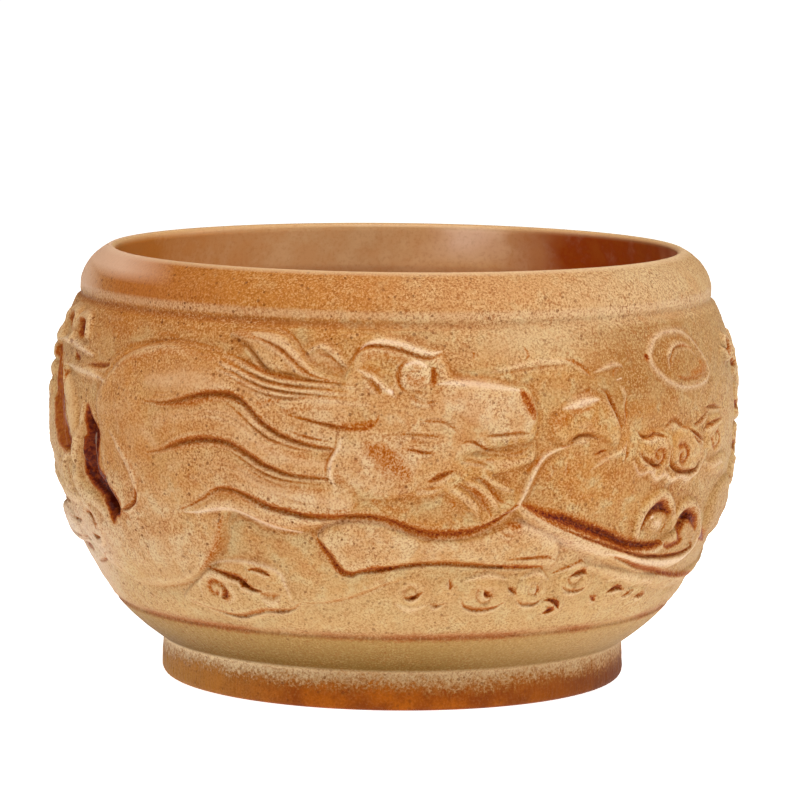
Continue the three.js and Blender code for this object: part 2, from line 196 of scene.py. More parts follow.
class Carving:
    """The relief on the belly: how far it stands out, in mm, and how the glaze lies on it."""

    def __init__(self, degrees, heights):
        self.x = degrees * MM_PER_DEGREE
        self.z = heights
        self.lift = np.zeros((len(heights), len(degrees)))
        self.stain = np.zeros_like(self.lift)  # iron-red glaze that pools in cuts
        self.pale = np.zeros_like(self.lift)  # cream edges where the glaze runs thin, and painted highlights
        self.smooth = np.zeros_like(self.lift)  # where the glaze has few specks

    def windows(self, line, reach):
        """The parts of the grid near a line, with the line shifted whole turns to meet them."""
        for turn in (-360, 0, 360):
            moved = line + [turn * MM_PER_DEGREE, 0, 0]
            low, high = moved.min(0) - reach, moved.max(0) + reach
            cols = np.flatnonzero((self.x > low[0]) & (self.x < high[0]))
            rows = np.flatnonzero((self.z > low[1]) & (self.z < high[1]))
            if len(cols) and len(rows):
                at = slice(rows[0], rows[-1] + 1), slice(cols[0], cols[-1] + 1)
                yield at, *np.meshgrid(self.x[at[1]], self.z[at[0]]), moved

    def near(self, points, reach, closed=False):
        """For each window: where it is, the distance to the stroke, its half width there and
        whether a point lies to its left."""
        line = smooth_line([(*p, 1.0) if len(p) == 2 else p for p in points], closed=closed)
        for at, px, pz, path in self.windows(line, reach):
            best = np.full(px.shape, np.inf)
            half = np.ones(px.shape)
            left = np.zeros(px.shape, bool)
            for start, end in zip(path[:-1], path[1:]):
                share, qx, qz = to_segment(px, pz, start, end)
                away = np.hypot(qx, qz)
                closer = away < best
                best = np.where(closer, away, best)
                half = np.where(closer, start[2] + share * (end[2] - start[2]), half)
                side = (end[0] - start[0]) * qz - (end[1] - start[1]) * qx
                left = np.where(closer, side > 0, left)
            yield at, best, np.maximum(half, 0.05), left

    def inside(self, outline, reach):
        """For each window: where it is, and the distance in from the outline, negative outside."""
        for at, px, pz, path in self.windows(smooth_line(evened(outline, 1.0), closed=True), reach):
            best = np.full(px.shape, np.inf)
            odd = np.zeros(px.shape, bool)
            for start, end in zip(path[:-1], path[1:]):
                _, qx, qz = to_segment(px, pz, start, end)
                best = np.minimum(best, np.hypot(qx, qz))
                (x0, z0, _), (x1, z1, _) = start, end
                if z0 != z1:
                    odd ^= ((z0 > pz) != (z1 > pz)) & (px < x0 + (pz - z0) * (x1 - x0) / (z1 - z0))
            yield at, np.where(odd, best, -best)

    def raise_to(self, at, top, add):
        """Puts a form on what is there, or merges it with what is there."""
        self.lift[at] = self.lift[at] + top if add else np.maximum(self.lift[at], top)

    def glaze(self, at, **amounts):
        """Lays stain, pale or smooth where there is less of it."""
        for name, amount in amounts.items():
            layer = getattr(self, name)
            layer[at] = np.maximum(layer[at], amount)

    def plate(self, outline, height, edge, add=False):
        """A raised area with rounded edges."""
        for at, depth in self.inside(outline, 0.5):
            share = np.clip(depth / edge, 0, 1)
            self.raise_to(at, height * np.sqrt(1 - (1 - share) ** 2), add)

    def pad(self, degrees, z, across, up, height, edge):
        """A rounded oval pad, of half width across degrees and half height up mm."""
        turns = np.arange(12) * math.pi / 6
        self.plate([(degrees + across * math.cos(t), z + up * math.sin(t)) for t in turns],
                   height, edge)

    def ridge(self, points, height, add=True, round_=1.0, closed=False):
        """A rounded ridge, lower where it is narrower."""
        widest = max(p[2] for p in points)
        for at, away, half, _ in self.near(points, widest, closed):
            arch = np.clip(1 - (away / half) ** 2, 0, 1) ** round_
            self.raise_to(at, height * np.sqrt(half / widest) * arch, add)

    def cut(self, points, depth, stain=1.0):
        """A cut with a round bottom, and the red glaze that fills it."""
        widest = max(p[2] for p in points)
        for at, away, half, _ in self.near(points, 2.4 * widest):
            share = away / half
            scale = np.sqrt(half / widest)
            self.lift[at] -= depth * scale * np.exp(-1.2 * share**2)
            self.glaze(at, stain=stain * np.exp(-0.9 * share**2) * scale)

    def fold(self, points, height, fade, low=0.6):
        """An edge that stands up on the left of a stroke and sinks away from it over fade mm.
        On its right the surface is pressed in by a share of the height, over the same distance."""
        for at, away, half, left in self.near(points, 2.5 * fade):
            side = np.where(left, 1.0, -low)
            wall = np.clip(away / 0.3, 0, 1)
            ends = np.clip(half, 0, 1)
            self.lift[at] += height * ends * side * wall * np.exp(-(away / fade) ** 2)

    def tint(self, points, closed=False, **amounts):
        """Glaze along a stroke, with no change of shape. Its pale marks are partly painted highlights."""
        widest = max(p[2] for p in points)
        for at, away, half, _ in self.near(points, 2.4 * widest, closed):
            soft = np.exp(-((away / half) ** 2))
            self.glaze(at, **{name: amount * soft for name, amount in amounts.items()})

    def pool(self, outline, depth, edge, stain):
        """A hollow cut well into the relief, with dark glossy glaze standing in it."""
        for at, inward in self.inside(outline, 1.2):
            share = np.clip(inward / edge, 0, 1)
            self.lift[at] -= depth * share * share * (3 - 2 * share)
            soft = np.clip((inward + 0.45) / 0.8, 0, 1)
            self.glaze(at, stain=stain * soft, smooth=soft)

    def groove(self, points, depth, stain=1.0, lip=0.3):
        """A cut under the edge of a form. Its left side is steep, and its right side rises slowly
        into a lip, where the glaze runs thin and pale and a highlight is painted as if lit from above."""
        widest = max(p[2] for p in points)
        for at, away, half, left in self.near(points, 5 * widest):
            scale = np.sqrt(half / widest)
            across = np.where(left, -away, away) / (CUT_CORE * half)
            slope = np.where(across < 0, 2.2, 0.8)
            edge = np.exp(-0.8 * (across - 2.0) ** 2) * scale
            back = np.exp(-1.0 * (across + 1.4) ** 2) * scale
            self.lift[at] += lip * (edge + 0.6 * back) - depth * scale * np.exp(-slope * across**2)
            pooled = np.exp(-np.where(across < 0, 0.34, 0.6) * across**2) * scale
            self.glaze(at, pale=min(1, 2 * lip) * edge, stain=stain * pooled)

    def line(self, points, half=0.3, depth=0.3, stain=0.7, lip=0.15):
        """A thin groove that tapers at both ends."""
        self.groove(tapered(points, half), depth, stain, lip)

    def lines(self, strokes, lip=0.15, half=1.0, depth=1.0, stain=1.0):
        """Thin grooves given as (points, half width, depth, stain), each made so much stronger."""
        for points, *sizes in strokes:
            self.line(points, half * sizes[0], depth * sizes[1], stain * sizes[2], lip)

    def bead(self, points, half, height, pale):
        """A thin ridge that tapers at both ends, pale along its top, where the glaze runs thin and a
        highlight is painted.
        """
        self.ridge(tapered(points, half), height)
        self.tint(tapered(points, 0.8 * half), pale=pale)

    def scroll(self, points, height, half, pale, up=0.0):
        """A raised curl with a pale line along it, a painted highlight."""
        self.ridge(points, height, add=False)
        self.tint(evened(points, half, up), pale=pale)


# The dragon's body from the left edge of the front, round the back, to its tail.
COIL = [(-90, 34, 5), (-106, 32, 5), (-120, 26, 5), (-136, 22.5, 5), (-152, 27, 4.8),
        (-166, 34, 4.6), (-180, 37, 4.4), (-194, 34, 4.2), (-208, 28, 3.9), (-222, 24.5, 3.5),
        (-236, 27, 2.9), (-248, 31.5, 2.2)]


def carve_dragon_body(c):
    neck = [(-53.5, 43.4), (-47, 45), (-40, 45.5), (-33, 45.1), (-26, 44.2), (-18, 43), (-9, 42),
            (-6, 36), (-6, 28), (-10, 25.2), (-16, 24.1), (-20, 24.6), (-24, 25.6), (-27, 25.9),
            (-28.2, 25), (-29.2, 23), (-31.3, 20.2), (-34.5, 17.9), (-38.5, 16.5), (-43, 15.5),
            (-49, 15), (-56, 15.2), (-60, 18), (-57, 22), (-54, 25.4), (-56, 30), (-56.5, 34),
            (-57.5, 38)]
    c.plate(neck, 0.7, 1.8)
    coil = [(-50, 20.4, 5), (-57, 20.4, 5), (-66, 23, 4.6), (-76, 29, 4.9), *COIL,
            (-257, 36, 1.5), (-264, 39, 0.5)]
    c.ridge(coil, 0.85, add=False, round_=0.5)
    # Soft swelling of the chest and of the first bend of the body.
    c.ridge([(-34, 21, 2), (-41, 20.6, 3.4), (-50, 20.4, 3.6), (-57, 20.6, 2)], 0.25)
    c.ridge([(-50, 42, 2), (-47, 36, 3), (-46, 30, 3.4), (-40, 25, 3)], 0.2)
    # The back of the neck, streaked with orange along its edge.
    back = [(-57, 38.6), (-54, 40.8), (-51, 42.8), (-48, 44.2), (-44, 45.2), (-39, 45.7),
            (-33, 45.4), (-28, 44.8)]
    c.fold(tapered(back[::-1], 1, 0.3, 0.3), 0.3, 1.2)
    c.line(shifted(back[2:], 0, 0.35), 0.3, 0.15, 0.35, 0.1)
    c.tint(tapered([(-52, 41), (-49, 43), (-45, 43.9), (-41, 44.7), (-36, 44.9), (-31, 44.5),
                    (-26, 43.9)], 0.6), stain=0.3)
    c.tint(tapered([(-44, 46.6), (-41, 46.7), (-38, 46.2)], 0.4), stain=0.35)
    c.tint(tapered([(-48, 42.4), (-43, 42.9), (-37, 43.2), (-31, 42.8)], 0.5), stain=0.18)
    # The chest's edge: an orange band inside it and a thin shadow line that runs under the coil.
    chest = [(-28, 25.3), (-28.7, 24.2), (-29.2, 23), (-30, 21.6), (-31.3, 20.2), (-33, 18.8),
             (-34.5, 17.9), (-37, 16.8), (-40, 16), (-43, 15.5), (-48, 14.9), (-55, 14.7)]
    c.fold(tapered(chest[::-1], 1, 0.4, 0.6), 0.4, 1.0)
    c.tint(tapered(shifted(chest[:7], -0.5, 0.1), 0.5), stain=0.5)
    c.line(shifted(chest[6:], 0.3, -0.15), 0.24, 0.12, 0.3, 0.1)
    c.line([(-60, 18.3), (-64, 17), (-68, 16.2), (-71.5, 15.8)], 0.3, 0.25, 0.5, 0.15)
    c.tint([(-48, 29.6, 1), (-43, 29.3, 1.2), (-38, 29.8, 1)], stain=0.13)
    c.tint([(-46, 22.4, 1.4), (-40, 23, 1.6), (-34, 22.6, 1)], stain=0.15)


def carve_mane(c):
    groove_a = [(-43.6, 38.5), (-40, 38.6), (-37, 39), (-34, 39.7), (-31, 40.2), (-28, 40.4),
                (-26, 40.2), (-24.5, 39.6), (-22.5, 38.3), (-20.5, 37), (-18, 35.9), (-15, 35.1),
                (-12, 34.6), (-9.6, 34.4)]
    groove_b = [(-42.8, 32.3), (-40, 32.8), (-38, 33.4), (-36, 34), (-33, 34.6), (-30, 34.8),
                (-27, 34.6), (-25, 34), (-23, 33.2), (-21, 32.3), (-19, 31.7), (-17, 31.2),
                (-14, 30.9), (-10.3, 30.8)]
    groove_c = [(-36.5, 25.7), (-34, 26.5), (-31, 27.8), (-29.5, 28.6), (-28, 28.9), (-26, 28.8),
                (-24, 28.3), (-22, 27.7), (-20, 27.1), (-17, 26.6), (-14, 26.2), (-11, 26.1),
                (-8, 26.2), (-5, 26.2), (-3, 26.1), (-1, 25.8), (1, 25.3), (3, 24.7), (5.5, 24.2),
                (8, 24.1), (11, 24.2), (13, 24.5), (15, 25), (17, 25.8), (18.7, 26.7), (20, 27.5)]
    locks = [
        [(-40, 41, 1), (-33, 42, 1.5), (-26, 42, 1.5), (-20, 39.8, 1.6), (-14, 37.4, 1.5), (-8, 36, 1)],
        [(-40, 36, 1.4), (-33, 37.4, 1.9), (-27, 37.4, 2.1), (-21, 34.8, 1.9), (-14, 33, 1.6),
         (-9, 32.6, 1.2)],
        [(-33, 30, 1.2), (-28, 31.6, 1.8), (-22, 30.2, 2), (-15, 28.6, 1.8), (-8, 28.4, 1.5),
         (0, 27.8, 1.1)],
        [(-33, 25.4, 0.7), (-27, 27.2, 0.9), (-20, 25.7, 0.9), (-13, 25, 0.7), (-7, 25.2, 0.5)],
    ]
    for lock in locks:
        c.ridge(lock, 0.25)
    for long_cut in (groove_a, groove_b, groove_c):
        c.fold(tapered(long_cut, 1, 0.1, 0.5), 0.4, 1.8)
        c.groove(tapered(long_cut, 0.52, 0.3, 0.5), 0.32, 0.9, 0.28)
    c.tint(tapered(groove_c[13:25], 0.6), stain=1.1)
    # Finer strands beside each long cut, and the pigment that has run into them.
    strands = [
        ([(-28, 39.4), (-25.5, 38.4), (-23, 36.9), (-20.5, 35.5), (-18, 34.8)], 0.24, 0.25, 0.5),
        ([(-24.6, 38), (-22, 36.4), (-19.6, 35.2), (-16, 34.4), (-12, 33.9)], 0.22, 0.25, 0.6),
        ([(-16.6, 36.4), (-13.4, 35.7), (-9.6, 35.2)], 0.26, 0.3, 0.7),
        ([(-27, 33.7), (-25, 32.8), (-22, 31.5), (-19, 30.6), (-16, 30.2), (-12, 30)], 0.24, 0.3, 0.6),
        ([(-24.6, 32), (-21.6, 30.7), (-18, 29.7), (-13, 29.4)], 0.22, 0.2, 0.35),
        ([(-36, 36.8), (-31, 37.8), (-27, 37.6), (-24, 36.6), (-21, 35)], 0.3, 0.16, 0.1),
        ([(-30, 31.7), (-26, 31.6), (-22, 30.2), (-17, 29), (-12, 28.3)], 0.3, 0.16, 0.12),
        ([(-24, 30.3), (-20, 29), (-15, 27.8), (-9, 27.7)], 0.28, 0.18, 0.2),
        ([(-10.6, 27), (-8.6, 26.9), (-6.6, 27.2)], 0.24, 0.2, 0.5),
        ([(-42, 39.6), (-39.5, 39.8), (-37.5, 40.3)], 0.2, 0.15, 0.25),
    ]
    c.lines(strands)
    for strand in ([(-40, 36.6, 0.8), (-34, 37.6, 1.1), (-28, 38.2, 1.2), (-23, 35.6, 1.1),
                    (-17, 33.4, 0.9)],
                   [(-38, 31, 0.8), (-32, 32.6, 1.1), (-26, 32.2, 1.2), (-20, 29.6, 1.1),
                    (-13, 28.6, 0.9)]):
        c.tint(strand, pale=0.25)
    for sheen in ([(-43, 41, 0.9), (-38, 41.6, 1.2), (-33, 41.7, 1.1), (-28, 41.2, 0.7)],
                  [(-24, 36.2, 0.4), (-20, 34, 0.5), (-15, 32.8, 0.5), (-10, 32.4, 0.4)],
                  [(-25, 31.4, 0.4), (-20, 29.1, 0.5), (-14, 28.2, 0.5), (-8, 28, 0.4)],
                  [(-23, 47.2, 0.5), (-19.6, 46.3, 0.8), (-16.6, 44.9, 0.6)],
                  [(-14, 45, 0.5), (-12, 45.2, 0.7), (-9.6, 44.2, 0.5)]):
        c.tint(sheen, pale=0.5, smooth=0.4)
    c.tint(tapered([(-41, 38.3), (-36, 38.7), (-31, 39.6), (-27, 39.9), (-25, 39.2)], 0.6), stain=0.6)
    c.tint(tapered([(-40, 32.5), (-36, 33.5), (-31, 34.3), (-27, 34.1), (-24, 33)], 0.6), stain=0.5)
    c.tint(tapered([(-33, 26.7), (-30, 28.1), (-27, 28.4), (-23, 27.5), (-19, 26.4)], 0.5), stain=0.45)
    c.tint(tapered([(-22, 34.6), (-18, 33.8), (-12, 33.2)], 0.7), stain=0.25)
    c.tint(tapered([(-20, 29.8), (-15, 29.4), (-10, 29.4)], 0.8), stain=0.3)
    # The pale lower edge of the last lock, with a painted highlight.
    hem = [(-36, 25.4), (-33, 25.6), (-30, 26.1), (-27.5, 26.3), (-25, 25.9), (-22, 25), (-20, 24.5),
           (-18, 24.2), (-15, 23.9)]
    c.fold(tapered(hem, 1), 0.3, 0.8)
    c.tint(tapered(hem, 0.45), pale=1.0)
    c.line(shifted(hem[3:], 0, 0.45), 0.2, 0.08, 0.25, 0.05)


def carve_horns(c):
    horn = [(-28.6, 47.3), (-26.6, 48), (-23.6, 48.4), (-20.4, 48.2), (-17.6, 47.2), (-15.8, 45.8),
            (-13.8, 44.4), (-11, 43.2), (-8, 42.6), (-8.6, 42), (-12.6, 42.3), (-16.6, 43),
            (-19.6, 43.2), (-21.4, 43.9), (-23, 45.1), (-24.6, 46.1), (-26.4, 46.7)]
    c.plate(horn, 0.75, 0.9)
    c.line([(-28, 47.9), (-25.6, 48.4), (-22.6, 48.6), (-19.6, 48.4), (-17, 47.3), (-15.4, 45.9),
            (-13.4, 44.7), (-11, 43.7)], 0.24, 0.2, 0.45, 0.1)
    c.line([(-24.8, 47.4), (-22, 46.9), (-19, 46), (-16.8, 44.9), (-15, 43.8), (-12.6, 42.9),
            (-9, 42.4)], 0.34, 0.3, 0.7, 0.2)
    c.bead([(-24, 47.7), (-21.4, 47.4), (-18.4, 46.6), (-16, 45.3), (-13.6, 43.9)], 0.5, 0.2, 0.5)
    c.line([(-26, 46.2), (-24, 45.4), (-22.4, 44.3), (-21, 43.2), (-19.6, 42.8)], 0.4, 0.25, 0.4, 0.2)
    c.tint([(-27.4, 47.4, 0.5), (-25.6, 47.5, 0.6), (-23.6, 47, 0.4)], stain=0.4)
    # Three long strands that run from the horn's root to the brow.
    for lower in (0.0, 0.85, 1.6):
        strand = [(-29, 45.1), (-26, 44.5), (-23, 43.6), (-20, 42.9), (-16, 42.5), (-11, 42.3), (-6, 42)]
        strand = shifted(strand, -0.4 * lower, -lower)
        c.bead(shifted(strand, 0, -0.38), 0.32, 0.22, 0.6)
        c.line(strand, 0.26, 0.3, 0.75 - 0.15 * lower, 0.1)
    c.line([(-29, 42.9), (-25.6, 42), (-22, 40.9), (-18, 40.3), (-13, 40.4), (-8, 40.3)],
           0.28, 0.25, 0.4, 0.15)
    c.tint([(-21.4, 39.5, 0.5), (-19.8, 39.9, 0.4), (-18, 40, 0.3)], stain=0.45)
    c.tint([(-17, 38.8, 0.5), (-13.6, 39.2, 0.5), (-10, 39.3, 0.3)], stain=0.3)
    # A short barb in front of the horn.
    c.bead([(-14.6, 45.4), (-12.4, 46.4), (-10.6, 46), (-9, 45), (-7.6, 44)], 0.55, 0.45, 0.5)
    c.line([(-12.6, 45.6), (-10.4, 45.1), (-8.8, 44.2)], 0.28, 0.25, 0.5, 0.1)
    c.tint([(-11.6, 44.6, 0.4), (-10, 44, 0.5), (-8.6, 43.4, 0.4)], stain=0.35)
    ear = [(-18, 39.3), (-16, 39.9), (-12, 39.8), (-8, 39.6), (-4, 39.5), (-2.2, 38.9),
           (-2.4, 38.2), (-3.4, 37.5), (-5, 37.1), (-8.3, 37.1), (-10.5, 37.5), (-14, 38.1)]
    c.plate(ear, 0.4, 0.8, add=True)
    c.line([(-17, 38.4), (-14, 37.8), (-10, 37.2), (-8.3, 36.9), (-5, 36.9), (-3.6, 37.3), (-2.7, 37.9),
            (-2.3, 38.7)], 0.36, 0.4, 0.85, 0.1)
    c.bead([(-16.6, 39.9), (-12, 40), (-7.6, 39.8), (-3.8, 39.7)], 0.35, 0.12, 0.6)
    c.tint([(-8, 37.4, 0.4), (-5.6, 37.3, 0.5), (-3.6, 37.8, 0.3)], stain=0.6)


def carve_head(c):
    skull = [(-10.5, 36), (-10.3, 32.5), (-9.4, 29.8), (-6, 28.4), (-1, 28.3), (4, 29.4),
             (8.5, 31.6), (12.5, 34), (17, 34.6), (21.5, 35), (23, 36.5), (22.9, 39.5),
             (21.6, 41.6), (18, 42), (13, 42.2), (9.3, 43.2), (7.2, 45.9), (2, 46.9),
             (-4.5, 46.8), (-7, 44.6), (-8.6, 42), (-10, 39.5)]
    c.plate(skull, 0.7, 1.3)
    cheek = [(-8.6, 35.4), (-9.2, 32.8), (-7.2, 30.4), (-3, 29.7), (2, 30.6), (4.3, 33.2),
             (2.8, 35.8), (-1, 37), (-5.5, 36.8)]
    c.plate(cheek, 0.3, 2, add=True)
    c.tint([(-3.4, 34.4, 1.2), (-1.6, 33.8, 1.8), (0, 32.6, 1.8), (1.6, 31.6, 1.2)], stain=0.56)
    c.tint([(-2.6, 34.6, 0.6), (-1, 33.8, 0.8), (0.6, 32.6, 0.7)], stain=0.62)
    # A painted highlight on the cheek's bulge.
    c.tint([(-5.4, 33.9, 0.5), (-4.4, 33.4, 0.6), (-3.8, 33, 0.4)], pale=0.5)
    c.tint([(-3, 35.8, 0.8), (1, 35.6, 1), (4, 35.6, 0.8)], stain=0.22)
    c.tint([(-9, 31.6, 0.5), (-8, 30.4, 0.7), (-6.4, 29.4, 0.6)], stain=0.3)
    c.tint([(-3, 28, 0.7), (-1, 27.2, 0.7), (2, 26.9, 0.5)], stain=0.3)
    muzzle = [(7, 41.8), (9.5, 42.3), (14, 42.1), (18.5, 41.7), (21, 41.2), (22.6, 39.4),
              (22.2, 37.2), (20.6, 36.3), (17, 36.2), (13.5, 36.8), (10.8, 38.4), (8, 39.8)]
    c.plate(muzzle, 0.3, 1.6, add=True)
    c.tint([(8, 40.4, 1.2), (13, 39.8, 1.7), (17.6, 39.4, 1.3)], pale=0.3)
    nose = [(18.6, 41), (20.6, 41.8), (22.4, 40.6), (23.2, 38.4), (22.4, 37.2), (20.4, 37.4), (18.8, 38.9)]
    c.plate(nose, 0.18, 0.9, add=True)
    c.cut([(20.2, 41.2, 0.35), (20.8, 40.5, 0.6), (21.4, 39.7, 0.65), (21.9, 38.9, 0.6), (22.2, 38.2, 0.4)],
          0.25, 0.95)
    c.tint(tapered([(20.5, 41.2), (21.3, 40), (21.9, 38.6)], 0.5), stain=1.0)
    # Brow: a thin crest with a painted highlight, over a broad orange fold.
    brow = [(-5.6, 46.2), (-4.4, 46.9), (-2, 47.2), (1, 46.9), (3.4, 46.3), (5.6, 45.9), (7.6, 46)]
    c.bead(brow, 0.55, 0.4, 1.0)
    c.line([(-6.6, 44), (-6.6, 45.2), (-5.8, 46.1), (-4, 46.6), (-1, 46.5), (2, 45.9), (4.6, 45.3),
            (6.6, 45.4), (7.8, 45.9)], 0.36, 0.35, 0.65, 0.15)
    c.tint([(-4.4, 45.6, 0.8), (-2, 45.7, 1), (0.6, 45.3, 0.8), (2.6, 44.9, 0.5)], stain=0.35)
    c.tint([(-4.6, 44.3, 0.5), (-3.6, 43.9, 0.6), (-2.6, 44, 0.4)], stain=0.4)
    # Eye: a ball under a heavy lid, in a hollow socket, with a tear spot in front.
    c.plate([(-5.6, 43.6), (-4.6, 45), (-2, 45.2), (0, 44.9), (0.6, 43.6), (-0.4, 42), (-2.4, 42.4)],
            -0.22, 1.2, add=True)
    c.plate([(0.6, 43), (0.9, 44.2), (2, 45), (3.4, 45.2), (4.8, 44.8), (5.6, 43.8), (5.4, 42.6),
             (4.6, 41.9), (3.2, 41.5), (1.6, 41.7)], 0.32, 1.7, add=True)
    c.line([(2.2, 41.2), (1.1, 41.8), (0.6, 42.7), (0.6, 43.7), (1.2, 44.6), (2.2, 45.2)][::-1],
           0.36, 0.3, 0.65, 0.1)
    c.bead([(1.7, 43.4), (1.5, 42.7), (1.7, 42.1)], 0.3, 0.1, 0.7)
    # A painted highlight along the top of the eye.
    c.tint([(1.8, 44.5, 0.25), (2.8, 44.8, 0.35), (3.8, 44.8, 0.4), (4.8, 44.4, 0.3)], pale=1.1)
    c.line([(2, 43.7), (3.2, 43.8), (4.4, 43.5)], 0.22, 0.15, 0.35, 0.05)
    c.line([(3, 41.5), (4.2, 41.2), (5.4, 41.6)], 0.24, 0.15, 0.3, 0.1)
    c.tint([(2.2, 42.9, 0.5), (3.2, 42.6, 0.7), (4.6, 43, 0.4)], stain=0.42)
    c.tint([(3.2, 44.2, 0.3), (3.8, 44.1, 0.3)], stain=0.4)
    c.cut([(6.1, 44, 0.3), (6.2, 43.2, 0.42), (6.1, 42.5, 0.35)], 0.35, 1.05)
    c.bead([(-6, 43.9), (-4.8, 43.5), (-3.4, 43), (-2.2, 42.2), (-1.2, 41.4), (0.2, 40.7)], 0.42, 0.25, 0.8)
    # A painted glint on the ridge below the eye.
    c.tint([(-0.9, 41.5, 0.25), (-0.5, 41.3, 0.3)], pale=1.5)
    c.line([(-5, 43), (-3.6, 42.4), (-2.6, 41.6), (-2.2, 40.9)], 0.5, 0.25, 0.55, 0.15)
    c.line([(2.8, 41.1), (3.2, 40.4), (5, 40.1), (7.4, 40.3)], 0.26, 0.15, 0.35, 0.1)
    # Top of the snout, pale where the glaze runs thin, with a painted highlight along it.
    snout = [(6.8, 42.3), (9, 42.4), (12, 42.3), (15, 42), (17.6, 41.7), (20, 41.4)]
    c.bead(snout, 0.75, 0.25, 0.95)
    lower_jaw = [(3, 30), (7, 32.4), (11.5, 33.8), (16, 33.5), (20.5, 33.4), (22.6, 34.2),
                 (22.4, 32.8), (19, 31.8), (15.6, 31.2), (12, 30.5), (8, 29.3), (4, 28.6)]
    c.plate(lower_jaw, 0.6, 1.2)
    marks = [
        ([(3, 37.8), (5.4, 37.9), (7.4, 37.8), (8.6, 37.4), (9.4, 36.9), (10.1, 36.2)], 0.24, 0.3, 0.6),
        ([(-1, 36.2), (2, 36.3), (5.6, 36.2), (7.8, 35.8)], 0.3, 0.2, 0.4),
        ([(13.8, 36.1), (16, 36.1), (18.4, 36.3), (20.4, 36.3), (21.8, 36.1)], 0.34, 0.3, 0.55),
        ([(16, 36.1), (17, 36.1)], 0.3, 0.1, 0.8),
        ([(10.2, 35.1), (11.4, 35.4), (12.6, 35.3), (13.8, 34.7), (15.2, 34.3), (17, 34)],
         0.28, 0.35, 0.75),
        ([(16.6, 34), (19, 33.8), (21, 34.1), (22.3, 34.8)], 0.24, 0.25, 0.35),
        ([(1, 34.7), (3, 34.4), (5, 34.1), (6.5, 34.1)], 0.28, 0.3, 0.7),
        ([(5.2, 30.5), (6.6, 31), (8, 31.5), (9.8, 32)], 0.42, 0.35, 0.85),
        ([(9.8, 30.5), (11.6, 29.8), (13, 29.1), (14.4, 28), (15.4, 26.8), (16, 25.6)], 0.22, 0.35, 0.8),
        ([(11.8, 30.1), (13.2, 29.3), (14.6, 28.4), (15.7, 27.6)], 0.2, 0.3, 0.75),
        ([(13.6, 28), (14.8, 27.2), (15.6, 26.2)], 0.18, 0.2, 0.5),
        ([(12.2, 31.1), (14, 30.7), (15.3, 29.7), (16.3, 28.7), (17.3, 28), (19, 27.4)], 0.34, 0.4, 0.7),
        ([(10, 33.2), (12, 33.1), (14.2, 32.7), (16, 31.8)], 0.28, 0.25, 0.3),
        ([(14, 32.9), (15, 33.2), (16.2, 33.1)], 0.26, 0.15, 0.45),
        ([(4, 29.8), (5.6, 29.7), (8, 30)], 0.34, 0.12, 0.4),
        ([(8.6, 27.8), (9.2, 28.1), (9.8, 27.6), (9, 27.2)], 0.24, 0.1, 0.5),
        ([(6, 46.2), (6.6, 45.2), (6, 44.6)], 0.24, 0.1, 0.3),
    ]
    c.lines(marks)
    # Small tusks in the corner of the mouth.
    for degrees in (13.6, 15.6, 17.4, 19.1):
        c.ridge([(degrees, 35.6, 0.35), (degrees + 0.3, 34.8, 0.25)], 0.25)
    jowl = [(-8.3, 35.8), (-8.4, 34.7), (-9.2, 33.7), (-9.8, 32.6), (-9.8, 31), (-9, 29.6)]
    c.bead(jowl, 0.4, 0.2, 0.9)
    c.line(shifted(jowl, -0.7, -0.1)[::-1], 0.22, 0.3, 0.5, 0.1)
    # Whisker, and the beard's tufts.
    whisker = [(17.5, 26.4), (19.6, 27), (20.8, 28.3), (21.6, 29.7), (22.4, 31.2), (23.4, 32.6),
               (24.6, 33.4), (26.6, 34), (29, 34.4)]
    c.ridge(tapered(whisker, 0.42), 0.6, add=False)
    c.tint(tapered(whisker, 0.34), pale=0.9)
    c.line(shifted(whisker, 0.9, -0.4), 0.2, 0.15, 0.3, 0.05)
    c.tint([(21.6, 31.6, 0.3), (22.6, 32.4, 0.35), (23.6, 33.2, 0.25)], stain=0.5)
    beard = [[(11, 30.6, 0.8), (13.5, 29.6, 0.9), (15.5, 28.3, 0.8), (16.6, 27, 0.4)],
             [(8, 30.2, 0.8), (10.5, 29, 0.9), (12.6, 27.6, 0.8), (13.6, 26.2, 0.3)],
             [(14, 31.4, 0.6), (16.5, 30, 0.7), (19, 29.2, 0.4)]]
    for tuft in beard:
        c.ridge(tuft, 0.6, add=False)


